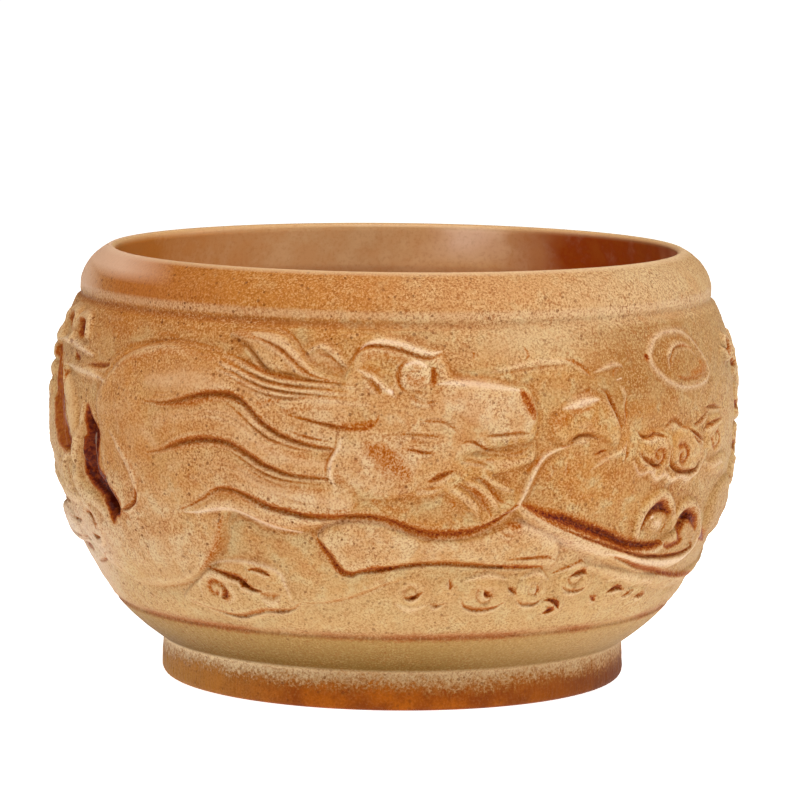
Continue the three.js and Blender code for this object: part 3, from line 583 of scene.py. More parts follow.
def carve_flame_and_plume(c):
    plume = [(15.6, 43.1), (18, 43.5), (20, 43.8), (22, 44), (25, 44.2), (28, 44.1), (30, 43.8)]
    c.bead(shifted(plume, 0, 0.4), 0.45, 0.2, 0.5)
    c.line(shifted(plume, 0, -0.2), 0.26, 0.15, 0.28, 0.1)
    c.line([(28.4, 44.9), (30.6, 44.3), (32.4, 43.4), (33.6, 42.4)], 0.32, 0.2, 0.6, 0.15)
    flame = [(25.3, 36.6), (26.6, 38.4), (28.5, 39.3), (31, 40), (34, 40.4), (36.5, 39.6),
             (38.2, 37.6), (39, 35.2), (37.6, 33.9), (35.4, 35.1), (32, 35.8), (29.5, 35.2),
             (27.4, 34.6)]
    c.plate(flame, 0.45, 1.2)
    # The flame's upper lobe, with a painted highlight along it.
    c.ridge(tapered([(27.6, 38.9), (30, 39.4), (32, 39.8), (34, 39.9)], 0.7), 0.25)
    c.tint(tapered([(27.8, 38.9), (30, 39.3), (32, 39.7), (34.4, 39.8)], 0.75), pale=0.95)
    c.tint(tapered([(26, 37.1), (28, 37.8), (30.4, 38.5), (33, 38.9)], 0.45), stain=0.5)
    for step in range(8):
        degrees = 25.2 + 0.55 * step
        z = 37.6 + 0.27 * step
        c.cut([(degrees, z, 0.12), (degrees + 0.5, z - 1, 0.14), (degrees + 0.8, z - 1.7, 0.1)], 0.12, 0.45)
    marks = [
        ([(35, 41.1), (36.4, 40.5), (37, 39.4), (37.8, 38.2), (38.6, 37), (39.6, 35.8)], 0.42, 0.4, 0.7),
        ([(40.1, 40.8), (40.15, 38.5), (40.2, 35.4)], 0.2, 0.25, 0.7),
        ([(29, 34.1), (29.6, 34.9), (30.6, 35.5), (32, 35.6), (33.5, 35.4), (34.8, 35)], 0.32, 0.35, 0.65),
        ([(26.4, 34.3), (28, 34.3), (29, 34.2)], 0.22, 0.2, 0.5),
        ([(33.8, 33), (34.8, 33.3), (36.2, 33.5)], 0.3, 0.3, 0.95),
        ([(38, 42), (38.2, 43), (39.6, 43.4)], 0.22, 0.25, 0.6),
        ([(31, 40.6), (32.4, 40.9), (33.6, 41.2)], 0.4, 0.15, 0.3),
        ([(28.6, 32.9), (28.8, 31.6), (28.4, 30.6)], 0.3, 0.15, 0.45),
        ([(25.6, 32.4), (26.4, 31.4), (25.6, 30.4)], 0.4, 0.15, 0.3),
        ([(12.6, 46), (13, 45.6), (12.4, 45)], 0.3, 0.2, 0.5),
        ([(21.4, 46.6), (22.1, 45.6), (21.6, 44.8)], 0.28, 0.2, 0.5),
    ]
    c.lines(marks)
    for points, pale in (([(33, 31.2), (34.5, 31.9), (36, 32.5), (38, 32.9), (39.4, 33.4), (40, 34.1)],
                          0.5),
                         ([(34, 43), (36.4, 43.5), (38.4, 43.8), (40, 43.5)], 0.7),
                         ([(38.6, 41.9), (39.6, 42.1)], 1.2),
                         ([(38.8, 41.4), (39.8, 40.2), (39.6, 38.8)], 0.3),
                         ([(29.6, 34.5), (31, 34.8), (32.6, 34.7)], 0.6)):
        c.bead(points, 0.42, 0.3, pale)


def carve_pearl(c):
    outer = [(46.6, 44.4), (47.4, 45.4), (48.8, 46.3), (50.4, 46.8), (53, 47), (56, 46.9),
             (58.5, 46.3), (60.5, 45.3), (62, 44.1), (63.6, 42.8), (64.6, 41.8), (64.4, 41),
             (62.4, 40.3), (59, 40), (56, 40), (53, 40.4), (50.5, 41.1), (48.5, 42.1), (47, 43.2)]
    c.plate(outer, 0.4, 1.6)
    c.ridge(evened(outer, 0.45), 0.25, closed=True)
    c.tint(evened(outer, 0.42), closed=True, pale=0.75)
    inner = [(51.9, 42.1), (51.7, 43.4), (52.4, 44.4), (53.8, 45), (56, 45.1), (58.4, 44.6), (59.8, 43.6)]
    c.bead(shifted(inner, -0.8, 0.3), 0.42, 0.2, 0.6)
    c.line(inner, 0.3, 0.25, 0.45, 0.15)
    c.line([(52, 42), (53.4, 41.4), (55.4, 41.1), (58, 41), (60, 41.2), (62, 41.4)], 0.3, 0.25, 0.5, 0.1)
    c.tint([(57.5, 41.4, 0.7), (60, 41.6, 1), (62.4, 42, 0.9), (61, 42.8, 0.6)], stain=0.45)
    c.tint([(49.4, 43.2, 0.4), (51.4, 45.6, 0.5), (55, 46.1, 0.5), (58.4, 45.5, 0.4)], stain=0.2)
    c.cut([(46, 44.4, 0.25), (46.2, 44.1, 0.25)], 0.2, 1.3)


def carve_clouds(c):
    # The cloud under the body, left of the middle.
    low_left = [(-42, 13.7), (-38, 13), (-33, 12.4), (-29, 12.4), (-23, 13.3), (-19, 13.7),
                (-16.8, 14.6), (-18.2, 16), (-18.9, 17.8), (-21, 19.2), (-25, 19.8), (-29, 19.6),
                (-33, 18.6), (-36, 17), (-40, 15.2)]
    c.plate(low_left, 0.5, 0.8)
    c.bead([(-33, 18.9), (-30, 19.5), (-26, 19.7), (-22, 19.3), (-19.6, 18.4), (-18.8, 16.8),
            (-18.2, 15.2)],
           0.42, 0.2, 0.8)
    c.pad(-33, 15.5, 4, 2.1, 0.35, 1)
    c.bead([(-36.4, 14.8), (-35.8, 16.6), (-33.4, 17.6), (-31, 17.2), (-29.6, 16), (-29.4, 14.8),
            (-31, 13.9)],
           0.5, 0.2, 0.5)
    c.pad(76, 23.4, 8, 4, 0.85, 2.4)
    # Small cushions of cloud with a curl in each, low along the front and higher at the right.
    for degrees, z, across, up, height in (
            (3.4, 16.2, 3.4, 2.1, 0.35), (9, 16.4, 2, 1.7, 0.25), (16.4, 16, 4.6, 2.3, 0.4),
            (25, 16.4, 3, 2, 0.35), (33.4, 17.2, 3.8, 2.2, 0.35), (44, 14.9, 3.6, 1.8, 0.35),
            (51.6, 14.2, 3.4, 1.5, 0.3), (30.2, 13.8, 2.8, 1.2, 0.35), (47.4, 32.6, 4.6, 2.7, 0.45),
            (56, 32.4, 5.4, 3, 0.5), (67, 33.4, 4.8, 2.6, 0.5), (70, 29.4, 6, 1.4, 0.3)):
        c.pad(degrees, z, across, up, height, 0.7 * up)
    for rim in ([(0.4, 15), (3, 14.2), (6, 14.8)], [(12.4, 17.9), (16, 18.6), (20, 18)],
                [(22.6, 18), (25.4, 18.6), (28, 17.6)], [(29.6, 18.4), (33, 19.4), (37, 18.4)],
                [(41, 16.6), (44, 17), (47, 16)], [(48.6, 15.6), (51.6, 15.9), (54.6, 15.2)]):
        c.bead(rim, 0.55, 0.4, 0.65)
    curls = [
        (-33.2, 15.5, 1.5, 0.8, 20, 0.45, 1, 0.7), (3.4, 16.3, 1.2, 0.9, 200, 0.24, -1, 0.35),
        (16.6, 16, 1.4, 1.0, 150, 0.26, 1, 0.4), (25.2, 16.6, 1.2, 0.9, 30, 0.24, -1, 0.3),
        (33.6, 17.6, 1.2, 0.9, 170, 0.26, 1, 0.35), (47.6, 32.2, 1.5, 1.1, 200, 0.36, 1, 0.8),
        (54, 31.7, 1.5, 1.0, 120, 0.4, -1, 0.9), (66.4, 33, 1.5, 1.1, 180, 0.36, 1, 0.65),
    ]
    for degrees, z, radius, turns, start, half, hand, stain in curls:
        stroke = spiral(degrees, z, radius, turns, start, half, hand)
        c.cut(stroke, 0.3, stain)
        c.tint(shifted(stroke, 0, 0.45), pale=0.35)
    low_marks = [
        ([(-33.6, 18.6), (-31, 18.1), (-29, 17.7), (-27.4, 17.4), (-26.3, 16.6), (-25, 16.1),
          (-23.4, 16)], 0.4, 0.35, 0.8),
        ([(-27.2, 17.2), (-26.6, 16.9), (-26, 16.5)], 0.5, 0.25, 1.3),
        ([(-25.4, 18.7), (-23.6, 18.8), (-22, 18.4), (-21.2, 18)], 0.26, 0.2, 0.7),
        ([(-31.6, 16.3), (-31, 15.6), (-31.4, 14.9), (-32.6, 14.6)], 0.45, 0.25, 0.8),
        ([(-40, 13.6), (-35, 12.7), (-30, 12.3), (-27, 12.8), (-24, 13.4), (-21, 13.5), (-18.5, 13.8),
          (-16.5, 14.8)], 0.3, 0.2, 0.4),
        ([(-24.4, 15.9), (-22, 15.4), (-20, 15.7)], 0.6, 0.1, 0.3),
        ([(1.8, 15.8), (3.4, 15.8), (5.2, 16.6)], 0.28, 0.3, 0.75),
        ([(9.6, 18.4), (10, 17.4), (9.8, 16.8)], 0.24, 0.25, 0.6),
        ([(6.4, 15.2), (7.6, 14.7), (9.4, 15)], 0.26, 0.15, 0.35),
        ([(12, 15.6), (13, 14.6), (15, 14.1), (17, 14.1), (19, 14.4), (20.6, 15.1)], 0.28, 0.25, 0.5),
        ([(16, 16.8), (16.6, 16.1), (18, 15.8)], 0.34, 0.3, 0.7),
        ([(20.3, 16.9), (21.4, 16.5), (22.4, 15.8)], 0.28, 0.3, 0.7),
        ([(25.6, 17.2), (26, 16.4), (25.9, 15.5)], 0.26, 0.25, 0.6),
        ([(22.6, 15.2), (24, 14.6), (26.4, 14.5), (28, 15.2)], 0.24, 0.15, 0.35),
        ([(28.3, 14.9), (29.8, 14.8), (31, 14.3), (31.9, 13.5)], 0.26, 0.3, 0.95),
        ([(28.8, 13), (29.8, 13.5), (31, 13.4)], 0.4, 0.25, 1.05),
        ([(32.2, 17.8), (33.2, 18.2), (34.4, 18.4), (35.6, 18)], 0.34, 0.3, 0.75),
        ([(31, 16.6), (32.6, 16), (34.6, 15.9), (36.6, 16.3)], 0.26, 0.2, 0.4),
        ([(38.4, 14.9), (39.4, 14.5), (40.4, 14)], 0.34, 0.3, 0.75),
        ([(41.8, 15), (42.8, 15.5), (44.4, 15.6), (46.2, 15.1)], 0.3, 0.3, 0.85),
        ([(46.6, 14.2), (48, 14.4), (49.6, 15)], 0.3, 0.25, 0.6),
        ([(50.6, 13.8), (52.4, 14), (54.4, 13.8)], 0.4, 0.2, 0.55),
    ]
    right_marks = [
        ([(42.6, 35.6), (43.6, 34.8), (45, 34.6), (46.4, 34.9), (48, 34.6), (49.3, 34.3)], 0.34, 0.3, 0.7),
        ([(49.4, 35.4), (51, 36), (52.6, 36.2), (54, 35.6), (55.4, 34.9)], 0.5, 0.2, 0.45),
        ([(43.2, 33.2), (44, 32.2), (45.4, 31.5), (47, 31), (49, 31)], 0.34, 0.3, 0.65),
        ([(50.6, 33), (50.4, 31.9), (51.2, 30.9), (52.4, 30.2), (54, 29.7), (56, 29.6), (58, 29.5),
          (59.6, 30), (60.4, 31.2), (60, 32.4)], 0.34, 0.3, 0.75),
        ([(55.6, 35.2), (57.6, 34.3), (59.6, 33.5), (61.6, 33)], 0.28, 0.3, 0.7),
        ([(56.6, 34.1), (58.4, 33.2), (60, 32.6)], 0.24, 0.25, 0.6),
        ([(58, 34.9), (60, 35.5), (62, 36), (64, 36.6)], 0.3, 0.25, 0.65),
        ([(61, 33.8), (63, 34.7), (66, 35.1), (70, 35.2)], 0.3, 0.3, 0.65),
        ([(62, 37), (66, 36.9), (70, 36.4)], 0.34, 0.3, 0.6),
        ([(40.2, 34.2), (40.4, 32.8), (40, 31.4)], 0.3, 0.15, 0.45),
    ]
    c.lines(low_marks, lip=0.32, half=1.3, depth=1.6, stain=1.45)
    c.lines(right_marks, lip=0.25, half=1.15, depth=1.4, stain=1.1)
    c.bead([(42, 31.6), (43.6, 30.1), (45.8, 30.3), (47.4, 29.3), (49.6, 29.7), (51.4, 28.8), (54, 29.1),
            (56.4, 28.5), (59, 29.1), (61, 29.9), (62.6, 31.2)], 0.7, 0.35, 0.8)
    c.bead([(62, 30.2), (65, 29.6), (68, 29.8), (71, 29.4)], 0.6, 0.3, 0.6)
    for degrees, z, stain in ((84.4, 42, 1.0), (85.2, 36.6, 1.4), (85, 31.4, 1.5)):
        c.scroll(spiral(degrees, z, 2.2, 1.1, 250, 0.75), 0.55, 0.35, 0.5)
        c.cut(spiral(degrees, z, 1.4, 1.0, 215, 0.42), 0.3, stain)


def carve_waves(c):
    # A long low rock or bank under the head.
    rock_top = [(-12.4, 23.5), (-12, 24), (-11, 24.8), (-9.5, 25.3), (-7, 25.5), (-4, 25.4),
                (-1, 25), (1, 24.4), (3.5, 23.8), (5, 23.4), (9, 23.2), (13, 23.5), (17, 24.5),
                (20, 25.4), (24, 24.6), (28, 23)]
    rock_foot = [(28.5, 20.3), (26.3, 19.4), (22, 19.5), (17, 19.8), (12, 20.4), (9, 20.5),
                 (6, 20.5), (3, 20.3), (0, 19.9), (-3, 19.5), (-6.5, 19.1), (-8.5, 19.5),
                 (-10, 20.9), (-11.3, 22.2)]
    c.plate(rock_top + rock_foot, 0.8, 1.1)
    c.tint(tapered(rock_top[:9], 0.4), pale=0.6)
    c.groove(tapered([(-12.6, 23.6), (-12.4, 22.8), (-11.3, 22.1), (-10.4, 21.4), (-10, 20.5),
                      (-9.2, 19.7), (-8.4, 19), (-7.2, 18.7), (-5.6, 19.2), (-3, 19.4), (0, 19.8),
                      (3, 20.1), (6, 20.3), (9, 20.3), (12, 20.1), (15, 19.9), (17, 19.8),
                      (20, 19.6), (23, 19.5), (25.6, 19.5), (26.6, 18.9), (27.8, 17.9)],
                     0.4), 0.35, 0.75, 0.1)
    c.tint(tapered([(-12.4, 23), (-11.4, 22), (-10.2, 20.8), (-9.2, 19.6), (-8, 18.9), (-6.6, 19)],
                   0.55), stain=1.1)
    c.tint(tapered([(-5, 19.4), (-3.4, 19.6), (-1.4, 19.6), (1.4, 19.9)], 0.45), stain=1.15)
    c.line([(19, 20.6), (22, 20.7), (25, 20.8), (26.4, 20.7), (28, 20.3)], 0.3, 0.3, 0.75)
    c.line([(15.6, 19.9), (18, 19.75), (21, 19.6), (24, 19.5), (26.6, 19.5)], 0.34, 0.3, 1.0)
    c.line([(27.8, 18.1), (29.5, 18.7), (31.5, 19.3), (33.6, 19.8), (34.8, 19.4)], 0.24, 0.3, 0.65)
    c.tint([(18.9, 25.1, 0.4), (19.7, 24.9, 0.6), (20.6, 24.9, 0.4)], stain=0.75)
    c.line([(17, 24.4), (18.4, 23.8), (20, 23.6)], 0.3, 0.15, 0.35)
    # The ground steps down below the body and the rock.
    step = [(-18, 15), (-16, 14.7), (-13, 14.8), (-10, 15.2), (-7, 15.8), (-4, 16.7), (-1, 17.6),
            (2, 18.2), (5, 18.3)]
    c.fold(tapered(step, 1), 0.3, 1.4, 0.4)
    c.line(step, 0.26, 0.15, 0.35, 0.1)
    # The long wave that rises to the right, and its two curls.
    wave = [(19.5, 27.9), (22, 27.4), (26, 26.2), (32, 24.4), (38, 22.7), (44, 21.2), (50, 20.8),
            (55, 22), (60, 23.8), (63.4, 23.4), (65.6, 21), (64, 18.4), (58, 17), (50, 17.2),
            (42, 18.6), (34, 20.8), (27, 23.2), (21, 25.6)]
    c.plate(wave, 0.75, 1)
    c.groove(tapered([(20.8, 27.5), (22, 27.1), (24, 26.4), (26, 25.8), (29, 25.1), (32, 24.2),
                      (35, 23.4), (38, 22.6), (41, 21.7), (44, 21.1), (47, 20.8), (50, 20.7),
                      (51.6, 20.9)], 0.85, 0.3, 0.5), 0.36, 1.6, 0.3)
    c.groove(tapered([(22.6, 26.4), (26, 25), (29, 24), (32, 23.1), (35, 22.3), (38, 21.5), (41, 20.8),
                      (44, 20.1), (47, 19.6), (50, 19.3), (53, 19), (56, 18.9), (59, 18.9), (61.6, 19.1),
                      (63, 19.5), (62, 20.1)], 0.34, 0.4, 0.8), 0.45, 1.0, 0.25)
    c.groove(tapered([(40, 20), (43, 19.2), (46, 18.4), (49, 17.8), (52, 17.3), (56, 16.6), (60, 16),
                      (65, 15.4), (70, 15), (74, 14.8)], 0.44, 0.4, 0.8), 0.4, 0.95, 0.2)
    c.tint([(21, 25, 0.8), (26, 23.4, 1.3), (32, 21.8, 1.3), (38, 20.4, 0.9)], pale=0.75)
    c.tint([(28, 19.4, 0.8), (32, 20.6, 1), (36, 19.4, 1), (42, 17.8, 0.9), (48, 16.6, 0.8)], pale=0.45)
    crest = [(38, 20.5), (42, 19.9), (46, 19), (50, 18.4), (55, 18), (60, 18), (63.5, 18.8),
             (65, 20), (64.9, 21.4), (63.6, 23), (61.8, 24.4)]
    c.bead(crest, 0.8, 0.35, 1.0)
    c.groove(tapered([(65.4, 21.1), (67, 20.7), (70, 20), (74, 19)], 0.6), 0.4, 1.5, 0.2)
    curls = [
        [(44.8, 22.2, 0.7), (45, 24.2, 0.9), (47, 26.2, 1), (50, 26.9, 1), (52.8, 25.6, 0.9),
         (54, 23.8, 0.7)],
        [(54.4, 22.6, 0.7), (55.4, 24.4, 0.9), (58, 25.2, 1), (61, 24.6, 1), (63.2, 22.8, 0.9),
         (63.6, 21, 0.6)],
    ]
    for curl in curls:
        c.scroll(curl, 0.7, 0.4, 0.35, 0.1)
    c.cut([(46.2, 23.3, 0.4), (46.3, 24.3, 0.6), (47.3, 25.2, 0.65), (48.8, 25.7, 0.75), (50.2, 25.6, 0.7),
           (51.4, 25.1, 0.5), (52.6, 24.6, 0.3)], 0.5, 1.75)
    c.cut([(55.6, 23.5, 0.4), (57, 23.9, 0.7), (58.8, 23.8, 0.8), (60.4, 23.3, 0.75), (61.6, 22.6, 0.6),
           (62.4, 22, 0.4)], 0.5, 1.7)
    c.cut([(57.4, 22.8, 0.5), (56.6, 22, 0.4), (57, 21.2, 0.35), (58, 20.6, 0.4), (56.4, 20.3, 0.4),
           (54.6, 20.2, 0.4), (53, 20.5, 0.3)], 0.35, 1.25)
    # A knob in the first curl, with a painted highlight on it.
    c.pad(49.6, 23.3, 1.8, 1.1, 0.4, 1)
    c.tint([(48.9, 23.6, 0.7), (50, 23.4, 0.8), (50.6, 22.8, 0.6)], pale=0.8)
    c.tint([(48, 24.3, 0.2), (48.3, 24.4, 0.25)], pale=1.5)
    c.line([(52.4, 23.8), (52.6, 22.8), (51.6, 22)], 0.3, 0.25, 0.5)


def carve_left_bend(c):
    """The deep cut beside the chest and the curls of cloud above and below it."""
    # The spine of the coil, a row of knuckles with a valley on its right.
    c.pool([(-82, 42.6), (-79, 42), (-75.4, 39.4), (-73.4, 36), (-70.4, 32.4), (-66.4, 31.2), (-69, 30),
            (-73, 30.6), (-76, 32.4), (-79, 35.6), (-81, 39)], 0.45, 1.7, 0.85)
    c.line([(-77.4, 42), (-75, 39), (-73, 35.8), (-70.4, 32.2), (-67.4, 30.8)], 0.6, 0.35, 1.5, 0.2)
    for degrees, z in ((-82, 44), (-83.4, 41.8), (-84, 39.4), (-83.6, 37), (-82.4, 34.6), (-80.6, 32.4),
                       (-78.2, 30.4), (-75.4, 29)):
        c.pad(degrees, z, 2.1, 1.4, 0.9, 1.4)
        c.tint([(degrees - 1, z, 0.5), (degrees + 1, z + 0.2, 0.6)], pale=0.35)
    c.ridge([(-72, 40.4, 0.8), (-69.6, 38.8, 1.3), (-67, 36, 1.7), (-65.2, 32.6, 1.4), (-64.6, 29.4, 0.8)],
            0.95, add=False)
    c.tint([(-69, 39.4, 0.8), (-67, 37, 1.1), (-65.6, 33.6, 0.9)], pale=0.3, smooth=0.8)
    # The pool, with a raised rim on its left and the darkest glaze along its right.
    pool = [(-61, 36.7), (-59.6, 35.6), (-57.4, 34), (-57.1, 32.6), (-57.8, 30.6), (-57.6, 28.6),
            (-55.6, 27.4), (-53, 26.6), (-51.6, 25.6), (-51, 24.6), (-52, 23.7), (-53, 23.4),
            (-53.8, 22.6), (-54.6, 23.2), (-55.4, 24.4), (-56.6, 25.3), (-58.4, 26), (-60.4, 26.7),
            (-62.2, 27.8), (-62.8, 29), (-62.2, 30.6), (-61.2, 33), (-61.9, 35)]
    c.pool(pool, 1.5, 1.1, 1.65)
    for edge in ([(-60, 35.6, 0.3), (-58, 33.6, 0.5), (-58, 30.8, 0.5), (-57.6, 28.6, 0.6),
                  (-54.4, 27, 0.6), (-52, 25.4, 0.7), (-52.4, 24, 0.6)],
                 [(-61.6, 32.6, 0.25), (-62.2, 30, 0.35), (-62, 28.2, 0.45), (-59.4, 26.9, 0.5),
                  (-56.4, 26, 0.6), (-54.6, 24.4, 0.5)]):
        c.tint(edge, stain=2.0)
    # Painted glints of highlight on the glossy glaze of the pool.
    for glint in ([(-60.3, 33.2, 0.16), (-60.6, 31.4, 0.22), (-60.4, 29.6, 0.16)],
                  [(-57.4, 27.2, 0.14), (-56, 26.5, 0.2), (-55, 25.6, 0.14)]):
        c.tint(glint, pale=0.95)
    c.bead([(-62.6, 37), (-63, 34.6), (-64.2, 31.6), (-65.4, 29), (-65.2, 27), (-62.8, 25.4), (-59, 24.7),
            (-56.6, 23.6), (-55, 21.8)], 0.9, 0.5, 0.45)
    c.ridge([(-61.4, 32.6, 0.35), (-61.8, 30.6, 0.5), (-61.6, 29, 0.4)], 0.5)
    c.tint([(-43.6, 34.9, 0.6), (-42.2, 34, 0.7), (-41, 33.2, 0.4)], pale=0.4)
    # The cushion of cloud that fills out the silhouette at the lower left.
    c.pad(-76, 20.6, 6, 2.8, 1.25, 1.6)
    c.cut([(-82, 18.2, 0.5), (-76, 17.6, 0.6), (-71, 17.6, 0.4)], 0.4, 0.7)
    bend = [(-46.4, 26.8), (-46.1, 28.2), (-46.7, 29.6), (-47.8, 31), (-49.8, 32.6), (-52.4, 34.2)]
    c.bead(bend, 0.7, 0.35, 0.6)
    c.line(shifted(bend, 0.6, 0.1), 0.24, 0.15, 0.35, 0.05)
    c.line([(-51.2, 24.4), (-49.2, 24.8), (-47.4, 25.5), (-46.4, 26.5), (-46.1, 27.8)],
           0.36, 0.4, 0.85, 0.25)
    c.tint([(-50.6, 24.4, 0.5), (-49.6, 23.9, 0.4), (-48.8, 23.4, 0.3)], stain=0.5)
    c.line([(-63, 41.6), (-59.6, 41.7), (-56, 41.9), (-54, 42.2)], 0.4, 0.3, 0.85, 0.2)
    c.bead([(-72, 41), (-66, 40.8), (-60, 40.6), (-54.4, 40.2)], 0.7, 0.4, 0.8)
    c.tint([(-58, 47, 1), (-54, 46, 1.2), (-50, 46.6, 1)], stain=0.22)
    # Curls of cloud at the upper left.
    for curl in ([(-79, 43.8, 0.8), (-79.6, 45.8, 0.9), (-76.6, 47.8, 0.9), (-73, 47.4, 0.9),
                  (-71.6, 45.6, 0.7)],
                 [(-70.8, 44, 0.7), (-70.8, 46, 0.8), (-68.2, 47.5, 0.9), (-65.2, 46.9, 0.8),
                  (-64.2, 45, 0.6)]):
        c.scroll(curl, 0.85, 0.4, 0.5, 0.2)
    c.pool([(-78, 45.8), (-76.4, 47), (-73.6, 46.8), (-73, 45.8), (-75, 45)], 0.5, 0.6, 1.1)
    c.pool([(-69.6, 45), (-69, 46.6), (-67, 46.8), (-66, 45.6), (-67.4, 44.6)], 0.5, 0.6, 1.25)
    c.cut([(-69, 42.3, 0.35), (-67.8, 42, 0.4), (-67, 41.9, 0.3)], 0.3, 1.1)
    c.bead([(-80, 43.4), (-75, 43.9), (-70, 43.9), (-65, 43.3), (-61, 42.8)], 0.7, 0.5, 0.8)
    # A band of cloud below the pool, with a hanging loop above it and a hook under it.
    c.bead([(-82, 27.4), (-76, 26.2), (-70, 24.9), (-65, 24.6), (-61, 24.2)], 0.9, 0.45, 0.45)
    c.bead([(-66.4, 29.4), (-68.4, 29.9), (-70.2, 28.8), (-70.4, 27), (-69, 25.9), (-67, 26)],
           0.6, 0.45, 0.6)
    c.bead([(-65, 23), (-62, 24), (-59.4, 22.9), (-59, 21), (-60.6, 19.2), (-63.6, 18.9)], 0.55, 0.4, 0.4)
    for points, stain in (([(-71.4, 40.2), (-70, 39.8), (-69.4, 38.6)], 0.9),
                          ([(-68.4, 36.8), (-67, 36.2)], 0.8),
                          ([(-71, 30.6), (-69, 30.8), (-66.6, 31.4)], 1.6),
                          ([(-67.4, 32.4), (-66, 32.8)], 0.8),
                          ([(-68.6, 28.6), (-68.2, 27.4), (-67.6, 26.8)], 0.7),
                          ([(-78, 24.4), (-73.4, 23.8), (-70.6, 23.4)], 0.6),
                          ([(-72, 21.6), (-69, 21.4), (-67, 21.8)], 0.5),
                          ([(-63.4, 23), (-61.6, 23), (-60.8, 22), (-61.4, 21)], 1.0),
                          ([(-64, 20.2), (-62.6, 19.9), (-60.6, 20)], 0.9),
                          ([(-78, 19.6), (-73, 19.2), (-69, 18.8)], 0.35)):
        c.line(points, 0.42, 0.4, stain, 0.2)


def carve_scales(c):
    """Rows of scales along the coil, each a shallow arc that opens towards the tail. The first
    rows are fainter, so that the scales begin softly at the left edge of the front."""
    spacing = 2.1
    width = 1.3
    faint_rows = 6
    size = 0.62 * spacing
    coil = smooth_line(COIL, 24)
    along = np.concatenate([[0], np.cumsum(np.hypot(*np.diff(coil[:, :2], axis=0).T))])
    for row, place in enumerate(np.arange(spacing, along[-1], spacing)):
        i = min(np.searchsorted(along, place), len(coil) - 2)
        x, z, half = coil[i]
        dx, dz = coil[i + 1, :2] - coil[i, :2]
        length = math.hypot(dx, dz)
        dx, dz = dx / length, dz / length
        count = max(1, round(half / width))
        shown = min(1.0, (row + 1) / faint_rows)
        for k in range(-count, count + 1):
            offset = (k + 0.5 * (row % 2)) * 2 * half * 0.8 / (2 * count + 1)
            arc = []
            for turn in (-80, -40, 0, 40, 80):
                forward = size * math.cos(math.radians(turn))
                side = offset + size * math.sin(math.radians(turn))
                arc.append(((x + dx * forward - dz * side) / MM_PER_DEGREE,
                            z + dz * forward + dx * side, 0.24))
            c.cut(arc, 0.22 * shown, 0.6 * shown)


def carve_far_side(c):
    legs = [
        [(-120, 30, 3), (-128, 35, 2.8), (-137, 39.5, 2), (-141, 41, 1.2)],
        [(-172, 33, 3), (-176, 26.5, 2.6), (-183, 21.5, 1.9), (-187, 19.8, 1.2)],
    ]
    claws = [
        [(-139, 41, 1), (-143, 44.3, 0.9), (-147, 45, 0.3)],
        [(-139, 40.6, 1), (-146, 41.6, 0.9), (-150.5, 40, 0.3)],
        [(-139, 40, 1), (-143.5, 37.4, 0.9), (-147, 34.8, 0.3)],
        [(-186, 20.2, 1), (-190, 23.4, 0.9), (-194, 23.6, 0.3)],
        [(-186, 19.8, 1), (-192.5, 19.6, 0.9), (-196.5, 17.6, 0.3)],
        [(-186, 19.2, 1), (-188, 16.2, 0.9), (-191, 14, 0.3)],
    ]
    tuft = [
        [(102, 36, 1), (96, 40, 1.2), (92, 44.5, 0.3)],
        [(102, 36, 1), (93, 37.5, 1.3), (86, 41, 0.3)],
        [(102, 35.5, 1), (94, 33.6, 1.2), (86.5, 34.6, 0.3)],
    ]
    scrolls = [
        (-96, 22.5, 2.3, 1.1, 200, 0.7, 1), (-104, 20, 2, 1.1, 330, 0.6, -1),
        (-158, 20, 2.2, 1.1, 200, 0.7, 1), (-118, 43.5, 2.2, 1.1, 200, 0.7, -1),
        (-196, 43.5, 2.2, 1.1, 330, 0.7, 1), (-205, 41.5, 2, 1.1, 200, 0.6, -1),
        (130, 36.5, 2.3, 1.1, 200, 0.7, 1), (122, 38.5, 2, 1.1, 330, 0.6, -1),
        (76, 44, 2, 1.1, 200, 0.6, 1), (84, 27.5, 2.3, 1.1, 330, 0.7, -1),
    ]
    for leg in legs:
        c.ridge(leg, 1.3, add=False, round_=0.7)
    for claw in claws + tuft:
        c.ridge(claw, 1.0, add=False, round_=0.8)
        c.tint(evened(claw, 0.5), pale=0.6)
    for degrees, z, radius, turns, start, half, hand in scrolls:
        c.scroll(spiral(degrees, z, radius, turns, start, half, hand), 0.9, 0.35, 0.7)
        c.cut(spiral(degrees, z, 0.72 * radius, turns, start, 0.3, hand), 0.35, 0.8)
    # Waves that break along the bottom.
    for degrees in range(104, 240, 22):
        crest = [(degrees - 9, 13.4, 0.4), (degrees - 4, 13.8, 1), (degrees, 15.6, 1),
                 (degrees + 3, 17.6, 0.8), (degrees + 5.6, 17, 0.6), (degrees + 5, 15.4, 0.3)]
        c.scroll(crest, 1.0, 0.4, 0.7, 0.2)
        c.groove(tapered([(degrees - 8, 14.9), (degrees - 3, 15.6), (degrees + 0.4, 17.4),
                          (degrees + 3, 19.2)], 0.35), 0.4, 1.0, 0.15)
    swell = [(34, 19.2, 0.4), (44, 17.2, 0.9), (56, 15.6, 1), (68, 14.7, 1), (82, 15.4, 0.8), (92, 17, 0.4)]
    c.ridge(swell, 0.6, add=False)


def between(start, stop, count):
    """count values from start towards stop, without stop."""
    return start + (stop - start) * np.arange(count) / count


def curve(start, corner, end, count):
    """Points of a rounded corner, without its end."""
    t = (np.arange(count) / count)[:, None]
    return (1 - t) ** 2 * np.array(start) + 2 * t * (1 - t) * np.array(corner) + t**2 * np.array(end)


